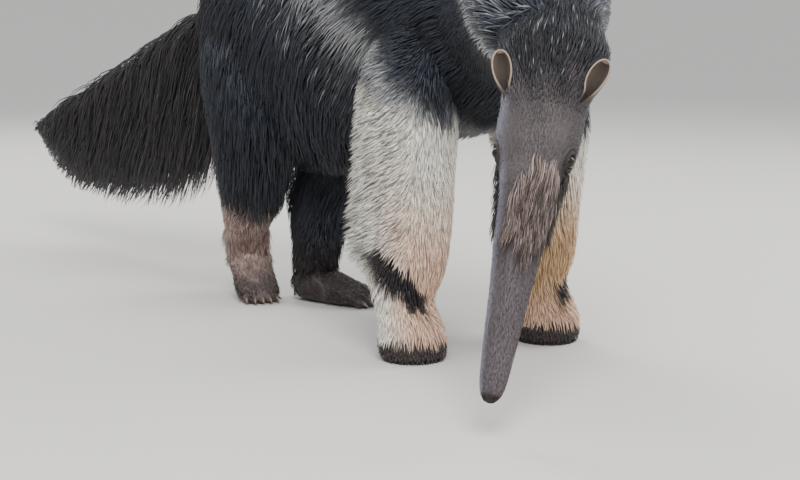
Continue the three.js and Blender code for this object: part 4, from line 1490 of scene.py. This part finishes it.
def skin_places(inside, spacing, rng):
    """Places about one spacing apart where the skin's corners all lie inside, and the way out."""
    mesh = bpy.data.meshes["skin"]
    mesh.calc_loop_triangles()
    points = to_body(read_points(mesh))
    normals = np.empty(len(mesh.vertices) * 3, np.float32)
    mesh.vertex_normals.foreach_get("vector", normals)
    normals = normals.reshape(-1, 3).astype(float)
    corners = np.empty(len(mesh.loop_triangles) * 3, np.int32)
    mesh.loop_triangles.foreach_get("vertices", corners)
    corners = corners.reshape(-1, 3)
    corners = corners[inside(points)[corners].all(1)]
    a, b, c = (points[corners[:, i]] for i in range(3))
    area = np.linalg.norm(np.cross(b - a, c - a), axis=1) / 2
    pick = rng.choice(len(corners), int(area.sum() / spacing**2), p=area / area.sum())
    u, v = rng.uniform(size=(2, len(pick)))
    over = u + v > 1
    u, v = np.where(over, 1 - u, u), np.where(over, 1 - v, v)
    weights = np.stack([1 - u - v, u, v], -1)[..., None]
    places = (points[corners[pick]] * weights).sum(1)
    return places, unit((normals[corners[pick]] * weights).sum(1))


def on_an_end(region, points):
    """True in the region where the skin belongs to the blunt end of a form, or just beyond it."""
    chosen = np.zeros(len(points), bool)
    rows = np.flatnonzero(region(points))
    t = nearest_form(points[rows])[1]
    chosen[rows] = (t < 0.012) | (t > 0.988)
    return chosen


def grow_on_skin(piece, inside, flow, fur, seed, spacing):
    """Hair rooted on the skin itself, where one form runs into another."""
    rng = np.random.default_rng(seed)
    roots, normal = skin_places(inside, spacing, rng)
    names, t, angle = nearest_form(roots)
    count = len(roots)
    share = np.linspace(0, 1, fur.steps + 1)[None, :, None]
    length = fur.length(t, angle, roots) * rng.uniform(1 - fur.vary, 1 + fur.vary, count)
    way = flow(roots) + rng.normal(0, 0.08, (count, 3))
    along = unit(way - normal * (way * normal).sum(-1, keepdims=True))
    lift = (length * rng.uniform(*fur.reach, count))[:, None, None]
    points = roots[:, None] + along[:, None] * length[:, None, None] * share**1.1
    points = points + normal[:, None] * lift * (1 - (1 - share) ** (1 / fur.rise))
    points = points - np.array([0, 0, 0.25]) * length[:, None, None] * share**2
    points[:, 0] -= normal * ROOT_DEPTH
    points[..., 2] = np.maximum(points[..., 2], HAIR_OVER_GROUND)
    outward = np.broadcast_to(normal[:, None], points.shape)
    marked = [np.zeros((count, 3)), np.zeros(count), np.zeros(count)]
    for name in FORMS:
        rows = names == name
        for whole, part in zip(marked, markings(name, roots[rows], t[rows], angle[rows])):
            whole[rows] = part
    build_coat(piece, points, outward, marked, t, angle, fur, rng)


def parted(t):
    """The hair of the face lies back over the crown above the brow, and to the nose below it."""
    return 2 * smooth(face_t(0.33), face_t(0.39), t) - 1


def off_the_eyes(points, t, angle):
    return ~near_eyes(points, 12)


def in_the_tuft(points, t, angle):
    """An uneven patch over the root of the snout, more on its left."""
    place = np.hypot((t - 0.465) / 0.09, (angle - 114) / 54)
    return place < 1 + 0.25 * EDGE_DRIFT(points)


def tuft_tone(t, angle, share, rng):
    """Grey-brown at the root, then light brown, with dark tips, darker on the left side."""
    count = len(t)
    body = mix(TUFT_LIGHT, TAUPE, rng.uniform(0, 1, count)) * rng.uniform(0.6, 1.8, (count, 1))
    body = mix(TAUPE, body[:, None], smooth(0.0, 0.4, share))
    dark = np.clip(rng.uniform(-1.2, 1.7, count) + 0.4 * smooth(100, 150, angle), 0, 1)
    return mix(body, TUFT_DARK, dark[:, None] * smooth(0.15, 0.7, share))


def jaw_shade_tone(t, angle, share, rng):
    """Dark brown hair put on the jaw's lower sides as painted shade, darker towards the root, a little
    lighter at some tips.
    """
    body = SHADE_AND_DARK_HAIR * rng.uniform(0.8, 1.8, (len(t), 1))
    return body[:, None] * (0.8 + 0.4 * share)[..., None]


def trunk_heading(t, angle, points):
    """Back along the spine, and more and more straight down on the sides."""
    sideways = np.abs(np.cos(np.radians(angle)))
    steep = 40 + 30 * smooth(120, 260, points[:, 1])
    return steep * smooth(0.1, 0.7, sideways)


FLANK_FROM = 150.0


def before_the_flank(points, t, angle):
    return points[:, 1] < FLANK_FROM


def on_the_flank(points, t, angle):
    return points[:, 1] >= FLANK_FROM


def around_the_neck(points):
    """The folds between head, neck and chest."""
    return (points[:, 1] < -15) & (points[:, 2] > 250) & (face_share(points) < 0.16)


def back_from_the_head(points):
    """Back along the neck, and down over the chest."""
    down = smooth(440, 360, points[:, 2])
    return mix(np.array([0.5, 0.84, 0.1]), np.array([0.1, 0.5, -0.85]), down)


def around_the_tail(points):
    """The folds between rump and tail."""
    return (points[:, 1] > HIP_Y + 90) & (points[:, 1] < HIP_Y + 230) & (points[:, 2] > 250)


def over_the_tail(points):
    """Back over the root of the tail, and more and more straight down at its sides and below."""
    down = np.clip(smooth(470, 380, points[:, 2]) + 0.4, 0, 1)
    return mix(np.array([0.0, 1.0, -0.3]), np.array([0.0, 0.45, -0.9]), down)


def around_a_foot(side, points):
    """The skin of a hind foot and its ankle, but not its toes."""
    own = points[:, 0] < 0 if side == "right" else points[:, 0] > 0
    low = (points[:, 2] > 8) & (points[:, 2] < 120) & (points[:, 1] > HIP_Y - 150)
    return own & low & ~near_toes(points, 15)


def down_a_foot(side, points):
    """Down the ankle, and along the foot to its toes."""
    level = toe_places(side)[0][1]
    return mix(level + np.array([0, 0, -0.35]), np.array([0, 0, -1.0]), smooth(50, 95, points[:, 2]))


def foreleg_heading(side, t, angle, points):
    """The hair sweeps back in wavy rows on the outer side of a foreleg, and hangs down elsewhere."""
    outside = smooth(72, 42, np.abs(outer_angle(side, angle) + 8))
    return 50 * outside * smooth(110, 170, points[:, 2])


def foreleg_length(side, short, t, angle, points):
    """Short rows outside, longer hair down the front, and very short hair on the foot."""
    outer = outer_angle(side, angle)
    front = smooth(45, 75, outer) * smooth(165, 130, outer) * smooth(60, 120, points[:, 2])
    return (short + 14 * front) * (1 - 0.6 * smooth(36, 20, points[:, 2]))


def tail_aim(t, start, right):
    """Each strand drops half way from its root to straight below the tail."""
    low = np.where(right, BELOW, 180 - BELOW)
    return low + (start - low) * 0.5


def tail_tone(t, angle, share, rng):
    """Black-brown strands with a few lighter ones, darker towards the root as painted shade."""
    count = len(t)
    body = mix(BLACK, BROWN_BLACK, rng.uniform(0, 1, count)) * rng.uniform(0.6, 1.5, (count, 1))
    light = np.where(rng.uniform(size=count) < 0.1, rng.uniform(0.2, 0.8, count), 0)
    body = mix(body, TAIL_LIGHT, light)
    # Painted shade: darker towards the root.
    return body[:, None] * (0.7 + 0.3 * share)[..., None]


# Sizes


class AnteaterSizes(bpy.types.PropertyGroup):
    skin_voxel: bpy.props.FloatProperty(
        name="Skin detail", description="Size of the faces of the skin", default=0.0052, unit="LENGTH"
    )
    ear_wall: bpy.props.FloatProperty(
        name="Ear wall", description="Thickness of the cup of an ear", default=0.0018, unit="LENGTH"
    )
    flank_hair: bpy.props.FloatProperty(
        name="Flank hair", description="Length of the hair of flank and back", default=0.105, unit="LENGTH"
    )
    shoulder_hair: bpy.props.FloatProperty(
        name="Shoulder hair", description="Length of hair on chest and shoulder", default=0.034, unit="LENGTH"
    )
    neck_hair: bpy.props.FloatProperty(
        name="Neck hair", description="Length of the hair of the neck", default=0.026, unit="LENGTH"
    )
    leg_hair: bpy.props.FloatProperty(
        name="Foreleg hair", description="Length of short hair on the forelegs", default=0.018, unit="LENGTH"
    )
    tail_hair: bpy.props.FloatProperty(
        name="Tail hair", description="Length of the longest hair of the tail", default=0.21, unit="LENGTH"
    )
    brow_hair: bpy.props.FloatProperty(
        name="Brow hair", description="Length of the coarse tuft of the brow", default=0.044, unit="LENGTH"
    )


class AnteaterColours(bpy.types.PropertyGroup):
    floor: bpy.props.FloatVectorProperty(
        name="Floor", description="Colour of the floor", subtype="COLOR", size=3, default=(0.62, 0.6, 0.57)
    )


def sizes():
    return bpy.context.scene.anteater_sizes


class ANTEATER_OT_skin(bpy.types.Operator):
    """Builds the one skin of the body"""

    bl_idname = "anteater.skin"
    bl_label = "Skin"

    def execute(self, context):
        build_skin(sizes().skin_voxel)
        return {"FINISHED"}


class ANTEATER_OT_eyes(bpy.types.Operator):
    """Builds the eyes"""

    bl_idname = "anteater.eyes"
    bl_label = "Eyes"

    def execute(self, context):
        for side in SIDES:
            build_eye(side)
        return {"FINISHED"}


class ANTEATER_OT_ears(bpy.types.Operator):
    """Builds the ears"""

    bl_idname = "anteater.ears"
    bl_label = "Ears"

    def execute(self, context):
        for side in SIDES:
            build_ear(side, sizes().ear_wall)
        return {"FINISHED"}


class ANTEATER_OT_claws(bpy.types.Operator):
    """Builds the claws of all four feet"""

    bl_idname = "anteater.claws"
    bl_label = "Claws"

    def execute(self, context):
        for side in SIDES:
            build_claws(side, fore=True)
            build_claws(side, fore=False)
        return {"FINISHED"}


class ANTEATER_OT_head_hair(bpy.types.Operator):
    """Grows the very short hair of the face, the hair of the crown and the coarse tuft of the brow"""

    bl_idname = "anteater.head_hair"
    bl_label = "Hair of the head"

    def execute(self, context):
        crown = Fur(
            lambda t, angle, points: 9 + 12 * smooth(0.26, 0.12, t),
            wide=1.9,
            steps=3,
            forward=parted,
            reach=(0.6, 1.2),
            rise=0.75,
            band=0.2,
            mottle=0.35,
        )
        short = Fur(
            even(8),
            wide=1.1,
            steps=2,
            forward=parted,
            reach=(0.45, 0.9),
            rise=0.8,
            root_painted_shade=0.9,
            mottle=0.22,
        )
        tuft = Fur(
            even(sizes().brow_hair / MM),
            wide=1.7,
            steps=6,
            reach=(1.4, 4.6),
            rise=0.9,
            wave=1.8,
            waves=1.1,
            clump=0.45,
            clump_size=8,
            vary=0.35,
            tone=tuft_tone,
        )
        # Dark hair on the jaw's lower sides, put there as painted shade.
        jaw_shade = Fur(even(24), wide=1.7, steps=4, reach=(1.4, 4.8), rise=0.8, wave=0.8, tone=jaw_shade_tone)
        grow = partial(grow_coat, name="face", slot="face_hair")
        grow("coat_crown", fur=crown, seed=20, spacing=3.4, span=(0.0, 0.25))
        grow("coat_face", fur=short, seed=21, spacing=2.55, span=(0.17, 0.955), keep=off_the_eyes)
        over = {"span": (0.36, 0.57), "angles": (45, 172)}
        grow("coat_brow", fur=tuft, seed=22, spacing=2.1, keep=in_the_tuft, **over)
        # Painted shade: dark hair along both lower sides of the jaw.
        span = (face_t(0.33), face_t(0.5))
        grow("coat_cheek_right", fur=jaw_shade, seed=23, spacing=2.6, span=span, angles=(-42, 6))
        grow("coat_cheek_left", fur=jaw_shade, seed=24, spacing=2.6, span=span, angles=(174, 222))
        return {"FINISHED"}


class ANTEATER_OT_neck_hair(bpy.types.Operator):
    """Grows the salt and pepper hair of the neck"""

    bl_idname = "anteater.neck_hair"
    bl_label = "Hair of the neck"

    def execute(self, context):
        slot = "grizzled_hair"
        fur = Fur(
            even(sizes().neck_hair / MM),
            wide=2.5,
            steps=3,
            forward=to_the_start,
            reach=(0.6, 1.05),
            rise=0.8,
            heading=even(25),
            band=0.2,
        )
        grow_coat("coat_neck", "neck", fur, slot, seed=31, spacing=4.05)
        fold = Fur(even(28), wide=2.6, steps=3, reach=(0.15, 0.4), rise=0.7, band=0.2)
        inside = partial(on_an_end, around_the_neck)
        grow_on_skin("coat_nape", inside, back_from_the_head, fold, seed=32, spacing=3.6)
        return {"FINISHED"}


class ANTEATER_OT_trunk_hair(bpy.types.Operator):
    """Grows the hair of the trunk, short at the shoulder and long on flank and back"""

    bl_idname = "anteater.trunk_hair"
    bl_label = "Hair of the trunk"

    def execute(self, context):
        short = sizes().shoulder_hair / MM
        long = sizes().flank_hair / MM
        shoulder = Fur(
            lambda t, angle, points: short + (long - short) * 0.5 * smooth(60, FLANK_FROM, points[:, 1]),
            wide=2.9,
            steps=4,
            heading=trunk_heading,
            reach=(0.7, 1.0),
            rise=0.7,
            wave=1.0,
            band=0.16,
        )
        flank = Fur(
            lambda t, angle, points: long * (0.6 + 0.4 * smooth(FLANK_FROM, FLANK_FROM + 130, points[:, 1])),
            wide=3.9,
            steps=5,
            heading=trunk_heading,
            reach=(0.72, 1.0),
            rise=0.55,
            wave=4.5,
            waves=1.4,
            clump=0.45,
            clump_size=22,
            band=0.13,
            last=1.07,
            jitter=0.1,
        )
        rump = Fur(even(95), wide=4.0, steps=5, reach=(0.12, 0.3), rise=0.6, vary=0.3)
        slot = "dark_hair"
        grow_coat("coat_shoulder", "trunk", shoulder, slot, seed=41, spacing=4.5, keep=before_the_flank)
        grow_coat("coat_flank", "trunk", flank, slot, seed=42, spacing=6.45, keep=on_the_flank)
        inside = partial(on_an_end, around_the_tail)
        grow_on_skin("coat_rump", inside, over_the_tail, rump, seed=43, spacing=5.0)
        return {"FINISHED"}


class ANTEATER_OT_foreleg_hair(bpy.types.Operator):
    """Grows the pale hair of the forelegs and the fringe behind them"""

    bl_idname = "anteater.foreleg_hair"
    bl_label = "Hair of the forelegs"

    def execute(self, context):
        short = sizes().leg_hair / MM
        slot = "pale_hair"
        fringe = Fur(
            lambda t, angle, points: 45 + 12 * smooth(300, 200, points[:, 2]),
            wide=2.4,
            steps=4,
            reach=(0.45, 0.95),
            rise=0.8,
            wave=2.0,
            clump=0.4,
            clump_size=14,
            root_painted_shade=0.75,
        )
        for i, side in enumerate(SIDES):
            leg = Fur(
                partial(foreleg_length, side, short),
                wide=2.5,
                steps=3,
                heading=partial(foreleg_heading, side),
                reach=(0.6, 1.15),
                rise=0.75,
                wave=0.8,
                clump=0.35,
                clump_size=8,
                root_painted_shade=0.8,
            )
            grow = partial(grow_coat, name=f"foreleg_{side}", slot=slot)
            grow(f"coat_foreleg_{side}", fur=leg, seed=51 + i, spacing=3.98, span=(0.0, 0.985))
            behind = (-130, -50)
            grow(f"coat_fringe_{side}", fur=fringe, seed=53 + i, spacing=4.2, span=(0.2, 0.6), angles=behind)
        return {"FINISHED"}


class ANTEATER_OT_hindleg_hair(bpy.types.Operator):
    """Grows the long hair of the thighs and the short hair below"""

    bl_idname = "anteater.hindleg_hair"
    bl_label = "Hair of the hind legs"

    def execute(self, context):
        thigh = Fur(
            lambda t, angle, points: 34 + 46 * smooth(0.85, 0.5, t),
            wide=3.5,
            steps=4,
            reach=(0.6, 1.0),
            rise=0.6,
            vary=0.45,
            wave=3.0,
            clump=0.4,
            clump_size=18,
        )
        foot = Fur(
            lambda t, angle, points: 10 + 15 * smooth(35, 85, points[:, 2]),
            wide=2.1,
            steps=2,
            reach=(0.18, 0.42),
            rise=0.7,
            root_painted_shade=0.6,
            mottle=0.4,
        )
        for i, side in enumerate(SIDES):
            leg = f"hindleg_{side}"
            grow_coat(f"coat_{leg}", leg, thigh, "dark_hair", seed=61 + i, spacing=5.0)
            inside = partial(around_a_foot, side)
            flow = partial(down_a_foot, side)
            piece = f"coat_hindfoot_{side}"
            grow_on_skin(piece, inside, flow, foot, seed=63 + i, spacing=2.9)
        return {"FINISHED"}


class ANTEATER_OT_tail_hair(bpy.types.Operator):
    """Grows the long coarse hair that hangs from the tail"""

    bl_idname = "anteater.tail_hair"
    bl_label = "Hair of the tail"

    def execute(self, context):
        longest = sizes().tail_hair / MM
        slot = "dark_hair"
        fur = Fur(
            lambda t, angle, points: longest * (0.5 - 0.2 * smooth(0.6, 1.0, t)),
            wide=5.0,
            steps=7,
            aim=tail_aim,
            last=1.05,
            jitter=0.16,
            round_from=0.8,
            reach=(0.5, 1.0),
            rise=0.75,
            wave=6.0,
            waves=1.5,
            clump=0.4,
            clump_size=26,
            tone=tail_tone,
        )
        grow_coat("coat_tail", "tail", fur, slot, seed=71, spacing=6.45)
        grow_coat("coat_tail_root", "tail", fur, slot, seed=72, spacing=6.6, span=(-0.12, 0.1), buried=True)
        return {"FINISHED"}


class ANTEATER_OT_stage(bpy.types.Operator):
    """Builds the floor, the lights and the camera"""

    bl_idname = "anteater.stage"
    bl_label = "Stage"

    def execute(self, context):
        build_stage(context.scene.anteater_colours.floor)
        return {"FINISHED"}


CAMERA_PLACE = np.array([-1272.7, -1441.0, 435.5])
CAMERA_HEADING = Vector((0.6157, 0.788, 0.0))
CAMERA_PITCH = math.radians(8.5)
PHOTO_WIDTH = 800
PHOTO_FOCAL = 1450
SENSOR = 36.0
SIGHT = 200.0
ROOM_COLOUR = (0.8, 0.82, 0.85, 1)
ROOM_STRENGTH = 1.15
LIT_PLACE = (0, 150, 300)
LAMPS = (
    ("key", (-1.6, -2.4, 2.6), 170, 2.2),
    ("fill", (2.8, -1.0, 1.8), 75, 2.5),
    ("back", (0.6, 3.2, 2.6), 100, 2.5),
)
FLOOR_ROUGHNESS = 0.85
FLOOR_RADIUS = 6.0
FLOOR_RISE = ((7.0, 0.0), (8.5, 0.1), (10.0, 0.4), (11.5, 0.9), (13.0, 1.6), (15.0, 2.8), (17.0, 4.2))


def floor_mesh():
    """A level floor whose far edge rises in a soft curve, so that no horizon shows."""
    bm = bmesh.new()
    bmesh.ops.create_circle(bm, cap_ends=True, segments=128, radius=FLOOR_RADIUS)
    rim = list(bm.edges)
    last_radius, last_height = FLOOR_RADIUS, 0.0
    for radius, height in FLOOR_RISE:
        made = bmesh.ops.extrude_edge_only(bm, edges=rim)["geom"]
        verts = [g for g in made if isinstance(g, bmesh.types.BMVert)]
        rim = [g for g in made if isinstance(g, bmesh.types.BMEdge)]
        grow = radius / last_radius
        bmesh.ops.scale(bm, vec=(grow, grow, 1), verts=verts)
        bmesh.ops.translate(bm, vec=(0, 0, height - last_height), verts=verts)
        last_radius, last_height = radius, height
    bmesh.ops.recalc_face_normals(bm, faces=bm.faces)
    return mesh_from(bm, "floor")


def build_stage(floor_colour):
    """The floor, the camera of the photo's framing, soft light all round and three wide lamps."""
    scene = bpy.context.scene
    mesh = floor_mesh()
    mesh.shade_smooth()
    material, _, shader = new_material("Pale floor", FLOOR_ROUGHNESS)
    shader.inputs["Base Color"].default_value = (*floor_colour, 1)
    mesh.materials.append(material)
    floor = bpy.data.objects.new("floor", mesh)
    scene.collection.objects.link(floor)

    camera_data = bpy.data.cameras.new("camera")
    camera_data.sensor_width = SENSOR
    camera_data.lens = SENSOR * PHOTO_FOCAL / PHOTO_WIDTH
    camera_data.clip_end = SIGHT
    camera = bpy.data.objects.new("camera", camera_data)
    scene.collection.objects.link(camera)
    camera.location = to_frame(CAMERA_PLACE)
    level = CAMERA_HEADING.normalized()
    look = level * math.cos(CAMERA_PITCH) - Vector((0, 0, 1)) * math.sin(CAMERA_PITCH)
    camera.rotation_mode = "QUATERNION"
    camera.rotation_quaternion = look.to_track_quat("-Z", "Y")
    scene.camera = camera

    world = bpy.data.worlds.new("soft room")
    world.use_nodes = True
    backdrop = world.node_tree.nodes["Background"]
    backdrop.inputs["Color"].default_value = ROOM_COLOUR
    backdrop.inputs["Strength"].default_value = ROOM_STRENGTH
    scene.world = world

    target = Vector(to_frame(LIT_PLACE))
    for label, offset, power, size in LAMPS:
        light = bpy.data.lights.new(label, "AREA")
        light.shape = "DISK"
        light.size = size
        light.energy = power
        lamp = bpy.data.objects.new(label, light)
        lamp.location = target + Vector(offset)
        lamp.rotation_mode = "QUATERNION"
        lamp.rotation_quaternion = (-Vector(offset)).to_track_quat("-Z", "Y")
        lamp.visible_camera = False
        scene.collection.objects.link(lamp)


STEPS = (
    ANTEATER_OT_skin,
    ANTEATER_OT_eyes,
    ANTEATER_OT_ears,
    ANTEATER_OT_claws,
    ANTEATER_OT_head_hair,
    ANTEATER_OT_neck_hair,
    ANTEATER_OT_trunk_hair,
    ANTEATER_OT_foreleg_hair,
    ANTEATER_OT_hindleg_hair,
    ANTEATER_OT_tail_hair,
    ANTEATER_OT_stage,
)


class ANTEATER_PT_panel(bpy.types.Panel):
    """Lists the steps that build the animal, with their sizes and colours"""

    bl_idname = "ANTEATER_PT_panel"
    bl_label = "Giant Anteater"
    bl_space_type = "VIEW_3D"
    bl_region_type = "UI"
    bl_category = "Anteater"

    def draw(self, context):
        for name in AnteaterSizes.__annotations__:
            self.layout.prop(context.scene.anteater_sizes, name)
        for name in AnteaterColours.__annotations__:
            self.layout.prop(context.scene.anteater_colours, name)
        for step in STEPS:
            self.layout.operator(step.bl_idname)


CLASSES = (AnteaterSizes, AnteaterColours, *STEPS, ANTEATER_PT_panel)


def register():
    for cls in CLASSES:
        bpy.utils.register_class(cls)
    bpy.types.Scene.anteater_sizes = bpy.props.PointerProperty(type=AnteaterSizes)
    bpy.types.Scene.anteater_colours = bpy.props.PointerProperty(type=AnteaterColours)


def unregister():
    del bpy.types.Scene.anteater_colours
    del bpy.types.Scene.anteater_sizes
    for cls in reversed(CLASSES):
        bpy.utils.unregister_class(cls)


def main():
    register()
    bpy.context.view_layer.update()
    bpy.ops.anteater.skin()
    bpy.ops.anteater.eyes()
    bpy.ops.anteater.ears()
    bpy.ops.anteater.claws()
    bpy.ops.anteater.head_hair()
    bpy.ops.anteater.neck_hair()
    bpy.ops.anteater.trunk_hair()
    bpy.ops.anteater.foreleg_hair()
    bpy.ops.anteater.hindleg_hair()
    bpy.ops.anteater.tail_hair()
    bpy.ops.anteater.stage()


if __name__ == "__main__":
    main()
